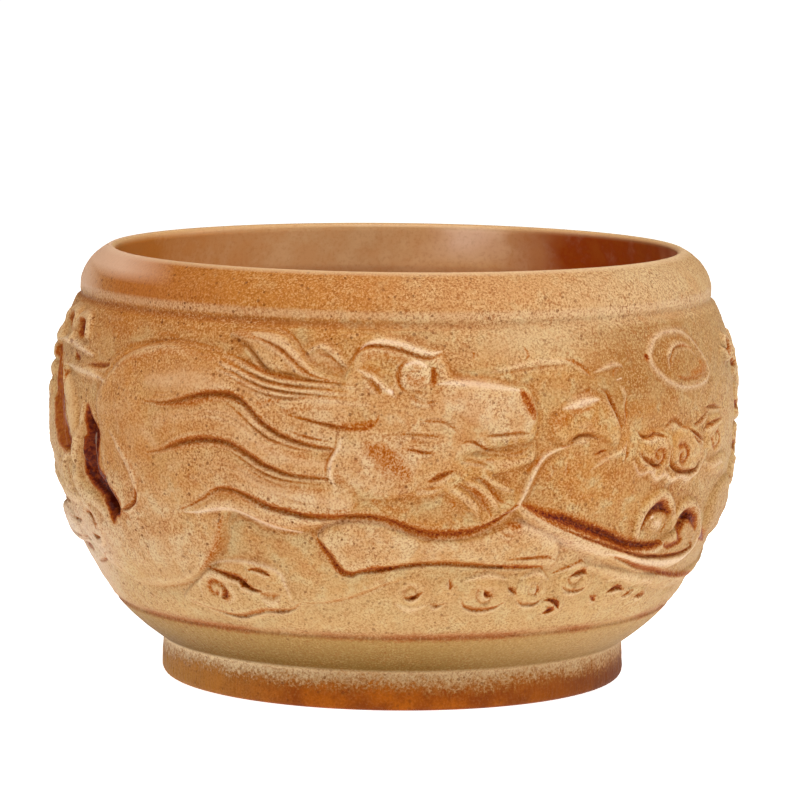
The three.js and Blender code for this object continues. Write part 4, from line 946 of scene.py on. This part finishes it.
def profile():
    """The cup's outline as (radius, z) rows in mm, from the middle of the underside, up the
    outside, over the lip, and down the well to its floor. With it come the first and last row of
    the carved band and the first row of the well."""
    foot_outside = FOOT_RADIUS - FOOT_EDGE
    foot_inside = foot_outside - FOOT_RING_WIDTH
    foot_top = FOOT_RADIUS - FOOT_TAPER, FOOT_HEIGHT - CREASE
    foot_corner = FOOT_RADIUS - 0.1, FOOT_HEIGHT
    underside = float(belly_radius(FOOT_HEIGHT + CREASE)), FOOT_HEIGHT + CREASE
    under_edge = LINE_Z - LINE_WIDTH / 2
    band_low, band_high = LINE_Z + LINE_WIDTH / 2, COLLAR_Z - GROOVE_WIDTH / 2
    collar_low = COLLAR_Z + GROOVE_WIDTH / 2
    roll = COLLAR_RADIUS, COLLAR_Z + COLLAR_ROLL
    turn = COLLAR_RADIUS - COLLAR_TURN_IN, CUP_HEIGHT - COLLAR_TURN_DROP
    lip = LIP_RADIUS, CUP_HEIGHT
    lip_inside = LIP_RADIUS - LIP_WIDTH, CUP_HEIGHT - LIP_DROP
    floor_z = RECESS_DEPTH + FLOOR_THICKNESS
    corner_z = floor_z + WELL_CORNER_HEIGHT
    corner = float(belly_radius(corner_z)) - WALL
    throat = float(belly_radius(COLLAR_Z)) - WALL
    rows = []

    def straight(start, stop, count):
        rows.extend(zip(between(start[0], stop[0], count), between(start[1], stop[1], count)))

    def along_belly(low, high, count, depth=0.0):
        for share in np.arange(count) / count:
            z = low + (high - low) * share
            step = max(0, z - COLLAR_Z) / (collar_low - COLLAR_Z)
            radius = belly_radius(min(z, COLLAR_Z)) + (COLLAR_RADIUS - SHOULDER_RADIUS) * step
            rows.append((radius - depth * math.sin(math.pi * share), z))

    straight((1.0, RECESS_DEPTH), (foot_inside - RECESS_SLOPE, RECESS_DEPTH), 6)
    straight((foot_inside - RECESS_SLOPE, RECESS_DEPTH), (foot_inside, 0), 5)
    straight((foot_inside, 0), (foot_outside, 0), 5)
    rows.extend(curve((foot_outside, 0), (FOOT_RADIUS, 0), (FOOT_RADIUS, FOOT_EDGE), 6))
    straight((FOOT_RADIUS, FOOT_EDGE), foot_top, 12)
    rows.extend(curve(foot_top, foot_corner, underside, 4))
    along_belly(underside[1], under_edge, 14)
    along_belly(under_edge, band_low, 8, LINE_DEPTH)
    first = len(rows)
    along_belly(band_low, band_high, BAND_ROWS)
    last = len(rows)
    along_belly(band_high, collar_low, 12, GROOVE_DEPTH)
    straight((COLLAR_RADIUS, collar_low), roll, 7)
    rows.extend(curve(roll, turn, lip, 26))
    rows.extend(curve(lip, (lip_inside[0], CUP_HEIGHT), lip_inside, 8))
    well = len(rows)
    straight(lip_inside, (throat, COLLAR_Z), 10)
    for z in np.linspace(COLLAR_Z, corner_z, 28)[:-1]:
        rows.append((float(belly_radius(z)) - WALL, z))
    slope = corner - WELL_CORNER_SLOPE, floor_z
    rows.extend(curve((corner, corner_z), slope, (FLOOR_RADIUS, floor_z), 10))
    straight((FLOOR_RADIUS, floor_z), (1.0, floor_z), 6)
    rows.append((1.0, floor_z))
    return np.array(rows, float), first, last, well


def carve(degrees, heights):
    """The whole carving, with its small dents, its highest and lowest places pressed flat."""
    c = Carving(degrees, heights)
    for part in (carve_dragon_body, carve_mane, carve_waves, carve_clouds, carve_horns, carve_head,
                 carve_flame_and_plume, carve_pearl, carve_left_bend, carve_scales,
                 carve_far_side):
        part(c)
    c.lift = softened(c.lift)
    draws = np.random.default_rng(11)
    for across, up, height in DENTS:
        marks = blurred(draws.normal(size=c.lift.shape), across, up)
        c.lift += height * marks / marks.std()
    over = c.lift - FREE_LIFT
    room = MOST_LIFT - FREE_LIFT
    c.lift = np.where(over > 0, FREE_LIFT + room * np.tanh(over / room), c.lift)
    from_edge = np.minimum(heights - heights[0], heights[-1] - heights)
    c.lift = np.maximum(c.lift, -DEEPEST) * np.clip(from_edge / FADE, 0, 1)[:, None]
    near = c.lift - blurred(c.lift, CREST_BLUR, CREST_BLUR)
    wide = c.lift - blurred(c.lift, VEIL_BLUR, VEIL_BLUR)
    c.crest = np.clip(near / CREST_LIFT, -1, 1)
    c.veil = np.clip(-wide / VEIL_DEPTH, 0, 1) * (1 - np.clip(-near / VEIL_EDGE, 0, 1))
    return c


def hand_made(degrees, heights):
    """The slight unevenness of a thrown and pressed cup, in mm: a little oval towards its mouth,
    with weaker waves of three and seven round it."""
    turn = np.radians(degrees)[None, :]
    rise = heights[:, None] / CUP_HEIGHT
    oval = 0.07 * rise * np.sin(2 * turn + 0.7)
    three = 0.05 * np.sin(3 * turn - 1.1 + 2 * rise)
    seven = 0.03 * np.sin(math.pi * rise) * np.sin(7 * turn + 9 * rise)
    return oval + three + seven


def ring_mesh(name, points, bottom, top, first_inside):
    """A closed mesh from rings of points, with a fan to a middle point at each end. Its faces from
    the ring first_inside on have the second material."""
    count, columns = points.shape[:2]
    vertices = np.concatenate([points.reshape(-1, 3), [bottom, top]])
    i = np.arange(count - 1)[:, None] * columns
    j = np.arange(columns)
    k = (j + 1) % columns
    quads = np.stack([i + j, i + k, i + columns + k, i + columns + j], axis=-1).reshape(-1, 4)
    under = np.full(columns, count * columns)
    last = (count - 1) * columns
    fans = np.concatenate([np.stack([under, k, j], axis=-1),
                           np.stack([under + 1, last + j, last + k], axis=-1)])
    inside = np.concatenate([np.repeat(np.arange(count - 1) >= first_inside, columns),
                             np.zeros(columns, bool), np.ones(columns, bool)])
    corners = np.concatenate([quads.ravel(), fans.ravel()])
    starts = np.concatenate([np.arange(len(quads)) * 4, quads.size + np.arange(len(fans)) * 3])
    mesh = bpy.data.meshes.new(name)
    mesh.vertices.add(len(vertices))
    mesh.vertices.foreach_set("co", vertices.ravel())
    mesh.loops.add(len(corners))
    mesh.loops.foreach_set("vertex_index", corners)
    mesh.polygons.add(len(starts))
    mesh.polygons.foreach_set("loop_start", starts)
    mesh.polygons.foreach_set("material_index", inside.astype(np.int32))
    mesh.update(calc_edges=True)
    mesh.polygons.foreach_set("use_smooth", np.ones(len(starts), bool))
    return mesh


def build_cup():
    rows, first, last, well = profile()
    degrees = -180 + 360 * np.arange(COLUMNS) / COLUMNS
    carving = carve(degrees, rows[first:last, 1])
    radius = np.repeat(rows[:, :1], COLUMNS, axis=1)
    height = np.repeat(rows[:, 1:], COLUMNS, axis=1)
    grain = blurred(np.random.default_rng(7).normal(size=radius.shape), 1, 1)
    grain *= GRAIN / grain.std()
    grain[well - SMOOTH_ROWS:] = 0
    grain *= np.clip(radius / FOOT_RADIUS, 0, 1) ** 2
    grain[rows[:, 1] < STANDING] = 0
    bent = hand_made(degrees, rows[:well, 1])
    radius[:well] += bent * np.clip(rows[:well, 1] / FOOT_HEIGHT, 0, 1)[:, None]
    radius += grain
    radius[first:last] += carving.lift
    turn = np.radians(degrees)[None, :]
    points = np.stack([radius * np.sin(turn), -radius * np.cos(turn), height], axis=-1) / 1000
    middle = [(0, 0, z / 1000) for z in (RECESS_DEPTH, rows[-1, 1])]
    mesh = ring_mesh("carved_cup", points, *middle, well - INNER_ROWS)
    for name in LAYERS:
        layer = np.zeros_like(radius)
        layer[first:last] = getattr(carving, name)
        values = np.append(layer.ravel(), [0, 0]).astype(np.float32)
        mesh.attributes.new(name, "FLOAT", "POINT").data.foreach_set("value", values)
    return add_object("carved_cup", mesh)


def add_object(name, data):
    thing = bpy.data.objects.new(name, data)
    bpy.context.scene.collection.objects.link(thing)
    return thing


DEEPER = 0.56  # the glaze colours are read off a lit cup, and the glaze itself is this much darker


def colour(text, depth=DEEPER):
    """A linear colour from its sRGB hex digits."""
    parts = [int(text[i:i + 2], 16) / 255 for i in (0, 2, 4)]
    return (*[depth * (p / 12.92 if p < 0.04045 else ((p + 0.055) / 1.055) ** 2.4) for p in parts], 1)


class Nodes:
    """A material that is painted in layers. Places on the cup are in millimetres here too."""

    def __init__(self, name, depth=DEEPER):
        self.material = bpy.data.materials.new(name)
        self.material.use_nodes = True
        self.tree = self.material.node_tree
        self.shader = self.tree.nodes["Principled BSDF"]
        self.depth = depth
        self.place = self.add("ShaderNodeTexCoord").outputs["Object"]
        parts = self.add("ShaderNodeSeparateXYZ", {"Vector": self.place}).outputs
        self.across, self.height = self.times(parts["X"], 1000), self.times(parts["Z"], 1000)

    def plug(self, socket, value):
        if isinstance(value, str):
            value = colour(value, self.depth)
        if isinstance(value, bpy.types.NodeSocket):
            self.tree.links.new(value, socket)
        else:
            socket.default_value = value

    def add(self, kind, inputs=None, **settings):
        node = self.tree.nodes.new(kind)
        for key, value in settings.items():
            setattr(node, key, value)
        for key, value in (inputs or {}).items():
            self.plug(node.inputs[key], value)
        return node

    def set(self, **values):
        for key, value in values.items():
            self.plug(self.shader.inputs[key.replace("_", " ")], value)

    def noise(self, size, detail=2.0, rough=0.5):
        """Noise whose grains are about size mm across."""
        return self.add("ShaderNodeTexNoise", {"Vector": self.place, "Scale": 1000 / size,
                                               "Detail": detail, "Roughness": rough}).outputs["Fac"]

    def level(self, value, low, high, to_low=0.0, to_high=1.0):
        """The value stretched so that low and high become to_low and to_high, and held there."""
        return self.add("ShaderNodeMapRange", {"Value": value, "From Min": low, "From Max": high,
                                               "To Min": to_low, "To Max": to_high}).outputs[0]

    def side(self, *levels):
        """A level by how far a place lies to the right of the middle."""
        return self.level(self.across, *levels)

    def up(self, *levels):
        """A level by height."""
        return self.level(self.height, *levels)

    def math(self, kind, a, b=0.0):
        return self.add("ShaderNodeMath", {0: a, 1: b}, operation=kind).outputs[0]

    def times(self, first, *others):
        """The product of all the values."""
        for other in others:
            first = self.math("MULTIPLY", first, other)
        return first

    def layer(self, name):
        return self.add("ShaderNodeAttribute", attribute_name=name).outputs["Fac"]

    def mix(self, factor, first, second):
        return self.add("ShaderNodeMix", {0: factor, 6: first, 7: second},
                        data_type="RGBA").outputs[2]

    def coat(self, tone, *shares):
        """Lays a colour over the glaze so far, by the product of the shares."""
        self.glaze = self.mix(self.times(*shares), self.glaze, tone)

    def finish(self, relief, strength, distance):
        """Sets the glaze and a fine roughness of that many mm, and gives the material."""
        bump = self.add("ShaderNodeBump", {"Height": relief, "Strength": strength,
                                           "Distance": distance / 1000})
        self.set(Base_Color=self.glaze, Normal=bump.outputs["Normal"])
        return self.material


def glazed_stoneware():
    n = Nodes("glazed_stoneware")
    stain, pale, smooth, lift, crest, veil = (n.layer(name) for name in LAYERS)
    broad = n.noise(14)
    patch = n.noise(5, 3, 0.6)
    blotch = n.noise(2.6, 3, 0.65)
    crumbs = n.noise(0.5, 3, 0.7)
    fine = n.noise(0.27, 3, 0.75)
    # Ground: golden tan in soft blotches of orange and of grey-green beige.
    n.glaze = n.mix(n.side(-20, 42), "c98f4c", "cb9854")
    n.coat("bc742c", n.level(broad, 0.38, 0.66, 0, 0.6))
    n.coat("b87434", n.level(lift, 0.3, -0.1), n.up(22, 29, 0.25, 0.6))
    n.coat("b97029", n.level(blotch, 0.52, 0.64, 0, 0.65))
    n.coat("d4b884", n.level(blotch, 0.48, 0.36, 0, 0.65))
    n.coat("dfbf96", n.level(lift, 0.45, 1.0), n.level(blotch, 0.6, 0.42, 0.35, 0.7))
    # Browner under the collar at the left, paler beige towards the right, and painted shade below the
    # collar at the right.
    collar = n.up(49.5, 50.8)
    deep = n.times(collar, n.side(-18, -30, 0, 0.95))
    n.coat("9c4e0a", n.up(41, 47.5), n.up(53.5, 50.5), n.side(-10, -36))
    n.coat("b06c28", collar, n.side(16, -4, 0, 0.5))
    n.coat("8e2600", deep)
    n.coat("d2b184", n.side(-4, 12), n.up(42.5, 47), n.level(broad, 0.6, 0.4, 0.5, 0.85))
    n.coat("cc8848", collar, n.side(30, 12, 0, 0.35), n.side(-20, -6))
    # Painted shade below the collar at the right.
    n.coat("a06a2a", n.side(20, 28, 0, 0.75), n.up(36, 41), n.up(48.6, 47.8))
    n.coat("bd7628", n.side(2, -26, 0, 0.65), n.up(26, 32))
    # Pale on edges, where the glaze runs thin and a highlight is painted; warmer in hollows; beige low
    # down; and paler at both sides, a painted sheen where the belly turns away.
    n.coat("e4c294", n.level(crest, 0.15, 1.1), n.level(patch, 0.3, 0.6, 0.2, 0.55))
    n.coat("ae6a28", n.level(crest, -0.15, -1.1), n.level(patch, 0.35, 0.6, 0.3, 0.8))
    sheen_at_sides = n.level(n.math("ABSOLUTE", n.across), 34, 44)
    n.coat("d8b883", n.math("MAXIMUM", n.up(24, 14), sheen_at_sides), 0.6)
    # A painted highlight, near white, low along the left edge.
    n.coat("f2dccc", n.side(-33, -41, 0, 0.8), n.up(25, 18))
    n.coat("b4864c", n.side(30, 40, 0, 0.75), n.up(30, 22))
    n.coat("c9ae7c", veil, n.level(patch, 0.62, 0.4, 0.2, 0.7))
    # Cream from the pale layer: thin glaze on edges, and painted highlights.
    n.coat("f2cfa6", pale, 0.5)
    # Below the cut line: khaki, darker towards the foot as painted shade in the crease, then the foot,
    # cream at its top and brighter cream at its left as a painted highlight on the ledge, and rusty towards
    # the ground.
    below = n.up(LINE_Z, LINE_Z - 0.5)
    khaki_and_crease_shade = n.mix(n.up(9.8, 5.8), "b0894c", "84622a")
    n.coat(n.mix(n.side(4, 24, 0, 0.4), khaki_and_crease_shade, "d0a870"), below)
    rust = n.mix(n.level(patch, 0.38, 0.62), "c06404", "9a4600")
    rust = n.mix(n.side(-12, -28, 0, 0.85), rust, "cc9040")
    rust = n.mix(n.side(8, 28, 0, 0.8), rust, "6c3000")
    worn = n.math("ADD", n.height, n.level(patch, 0.3, 0.7, -0.6, 0.6))
    worn = n.math("ADD", worn, n.level(n.noise(0.4, 3, 0.7), 0.35, 0.65, -0.9, 0.9))
    foot = n.mix(n.level(worn, 2.1, 3.8), rust, "b0702a")
    foot = n.mix(n.level(worn, 3, 4.9), foot, n.mix(n.side(-6, -22), "dab686", "fcdcac"))
    n.coat(foot, n.up(FOOT_HEIGHT + 0.3, FOOT_HEIGHT - 0.2))
    # Red pigment that clings to the cut line, broken up along its length, and to the turned groove,
    # with a painted highlight along the edge of the collar over it.
    ragged = n.math("ADD", n.height, n.level(crumbs, 0.3, 0.7, -0.3, 0.3))
    band = n.times(n.level(ragged, 9.5, 10.1), n.level(ragged, 11.3, 10.4))
    n.coat("a65018", band, n.level(n.noise(9), 0.32, 0.55, 0.35, 1), 0.8)
    n.coat("9c5216", n.up(48.3, 48.8), n.up(49.5, 49), n.side(20, -20, 0.15, 0.7))
    n.coat("e8c49a", n.up(49.4, 49.8), n.up(50.8, 50.3), 0.35)
    # Sandy grain: fine light and dark grains, clumps of rust, and a few larger dark specks. It is
    # weaker on smooth glaze, low on the belly and under the cut line.
    under = n.times(below, n.up(4.6, 5.2))
    live = n.times(n.level(smooth, 0, 1, 1, 0.25), n.level(patch, 0.35, 0.65, 0.65, 1.1),
                   n.up(24, 16, 1, 0.7), n.level(under, 0, 1, 1, 0.75))
    n.coat("8a4610", n.level(fine, 0.505, 0.6), live, 0.72)
    n.coat("f0cc98", n.level(fine, 0.48, 0.37), live, n.up(2, 6, 0.25, 1),
           n.level(deep, 0, 0.95, 1, 0.15), 0.42)
    n.coat("a85a1c", n.level(n.noise(0.7, 2, 0.7), 0.56, 0.68), live, 0.4)
    cells = n.add("ShaderNodeTexVoronoi", {"Vector": n.place, "Scale": 1000 / 0.75}).outputs
    chance = n.add("ShaderNodeSeparateColor", {"Color": cells["Color"]}).outputs[0]
    beyond = n.math("SUBTRACT", cells["Distance"], n.level(chance, 0.5, 1, 0.02, 0.3))
    n.coat("74380a", n.level(beyond, 0.03, -0.03), n.level(chance, 0.5, 0.56),
           n.side(-10, 35, 1, 0.6), live, 0.8)
    # Iron-red glaze in the cuts, going to dark maroon where it stands deepest.
    grit = n.times(n.level(fine, 0.38, 0.6, -0.45, 0.4), n.level(smooth, 0, 1, 1, 0.2))
    pooled = n.times(stain, n.level(crumbs, 0.3, 0.7, 0.55, 1.3), n.math("ADD", grit, 1))
    for tone, low, high in (("ae5e0c", 0.1, 0.62), ("8e3802", 0.5, 1.05), ("541000", 1.1, 1.75)):
        n.coat(tone, n.level(pooled, low, high))
    # Painted highlights: on the brightest edges, along the lip, and a sheen along the left of the collar.
    n.coat("fde2c8", n.level(pale, 0.6, 1.5), 0.75)
    n.coat("e8c49a", n.up(54.5, 54.9), 0.6)
    sheen_by_lip = n.times(n.side(-27, -34), n.up(52, 53.4))
    sheen_by_edge = n.times(n.side(-36.5, -39.2), n.up(49.5, 50.5))
    n.coat("e6bc9e", n.math("MAXIMUM", sheen_by_lip, sheen_by_edge), 0.75)
    dull = n.math("ADD", n.level(stain, 0.9, 1.8, 0.55, 0.24), n.level(fine, 0.3, 0.7, -0.04, 0.06))
    n.set(Specular_IOR_Level=0.06, Roughness=dull)
    return n.finish(n.math("ADD", fine, n.noise(0.16, 1)), 0.45, 0.06)


def inner_glaze():
    n = Nodes("inner_glaze", depth=1)
    broad = n.noise(12, 3, 0.6)
    mottle = n.noise(4, 4, 0.7)
    fine = n.noise(0.5, 3, 0.7)
    across = n.math("ADD", n.across, n.level(broad, 0.3, 0.7, -3, 3))
    n.glaze = n.mix(n.level(across, -33, -14), "a86a2c", "bb9368")
    n.coat("cba072", n.level(across, -6, 8))
    n.coat("863000", n.level(across, 12, 25))
    n.coat("a85f24", n.up(50, 35))
    n.coat("b06a24", n.level(mottle, 0.42, 0.62, 0, 0.22))
    n.coat("dcb48c", n.level(mottle, 0.48, 0.3, 0, 0.14))
    # Painted highlights on the far wall: a pinkish one right of the middle near the top, and a fainter one
    # at the right end.
    n.coat("ecd0bc", n.level(across, 4, 9), n.level(across, 16, 11), n.up(49.5, 52.5, 0, 0.5))
    n.coat("c08c6c", n.level(across, 32.5, 35.2, 0, 0.5))
    # The top of the lip: lighter glaze, with a painted highlight.
    n.coat(colour("dfb07a"), n.up(54.1, 54.9))
    n.coat("8a4410", n.level(fine, 0.5, 0.7, 0, 0.18))
    n.set(Specular_IOR_Level=0.2, Roughness=n.level(broad, 0.3, 0.7, 0.3, 0.42))
    return n.finish(fine, 0.25, 0.05)


# Studio and camera, in metres
ROOM_LIGHT = 0.15
LIGHTS_AIM = (0, 0, 0.03)
KEY_TONE = (1, 0.975, 0.9)
FLOOR_REACH = 3.0  # from its middle to each side
FLOOR_GLOW = 0.92
CAMERA_PLACE = (0.00064, -0.58, 0.1048)
CAMERA_LENS = 204.3
CAMERA_PITCH = math.radians(-6.85)
CAMERA_ROLL = 0.0105


def area_light(name, place, size, power, tone=(1, 1, 1)):
    data = bpy.data.lights.new(name, "AREA")
    data.shape = "RECTANGLE"
    data.size, data.size_y = size
    data.energy = power
    data.color = tone
    light = add_object(name, data)
    light.location = place
    aim = Vector(LIGHTS_AIM) - Vector(place)
    light.rotation_euler = aim.to_track_quat("-Z", "Y").to_euler()


def studio():
    world = bpy.data.worlds.new("white_room")
    bpy.context.scene.world = world
    world.use_nodes = True
    room = world.node_tree.nodes["Background"].inputs
    room["Color"].default_value = (1, 1, 1, 1)
    room["Strength"].default_value = ROOM_LIGHT
    area_light("key", (0.03, -0.32, 0.42), (0.36, 0.36), 3.0, KEY_TONE)
    area_light("soft_left", (-0.42, 0.02, 0.25), (0.3, 0.45), 0.8)
    area_light("soft_right", (0.42, 0.0, 0.25), (0.3, 0.5), 1.3)
    area_light("top", (0.0, -0.05, 0.5), (0.3, 0.3), 1.0)
    mesh = bpy.data.meshes.new("floor")
    corners = [(x * FLOOR_REACH, y * FLOOR_REACH, 0)
               for x, y in ((-1, -1), (1, -1), (1, 1), (-1, 1))]
    mesh.from_pydata(corners, [], [(0, 1, 2, 3)])
    white = Nodes("white_floor")
    white.set(Base_Color=(0.9, 0.9, 0.9, 1), Roughness=0.8, Emission_Color=(1, 1, 1, 1),
              Emission_Strength=FLOOR_GLOW)
    mesh.materials.append(white.material)
    floor = add_object("floor", mesh)


def camera():
    data = bpy.data.cameras.new("camera")
    data.sensor_width = 36
    data.lens = CAMERA_LENS
    eye = add_object("camera", data)
    eye.matrix_world = (Matrix.Translation(CAMERA_PLACE)
                        @ Matrix.Rotation(math.radians(90) + CAMERA_PITCH, 4, "X")
                        @ Matrix.Rotation(CAMERA_ROLL, 4, "Z"))
    bpy.context.scene.camera = eye


camera()
studio()
cup = build_cup()
cup.data.materials.append(glazed_stoneware())
cup.data.materials.append(inner_glaze())
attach(cup, "root")
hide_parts("cup_body")
bpy.context.scene.view_settings.view_transform = "Standard"
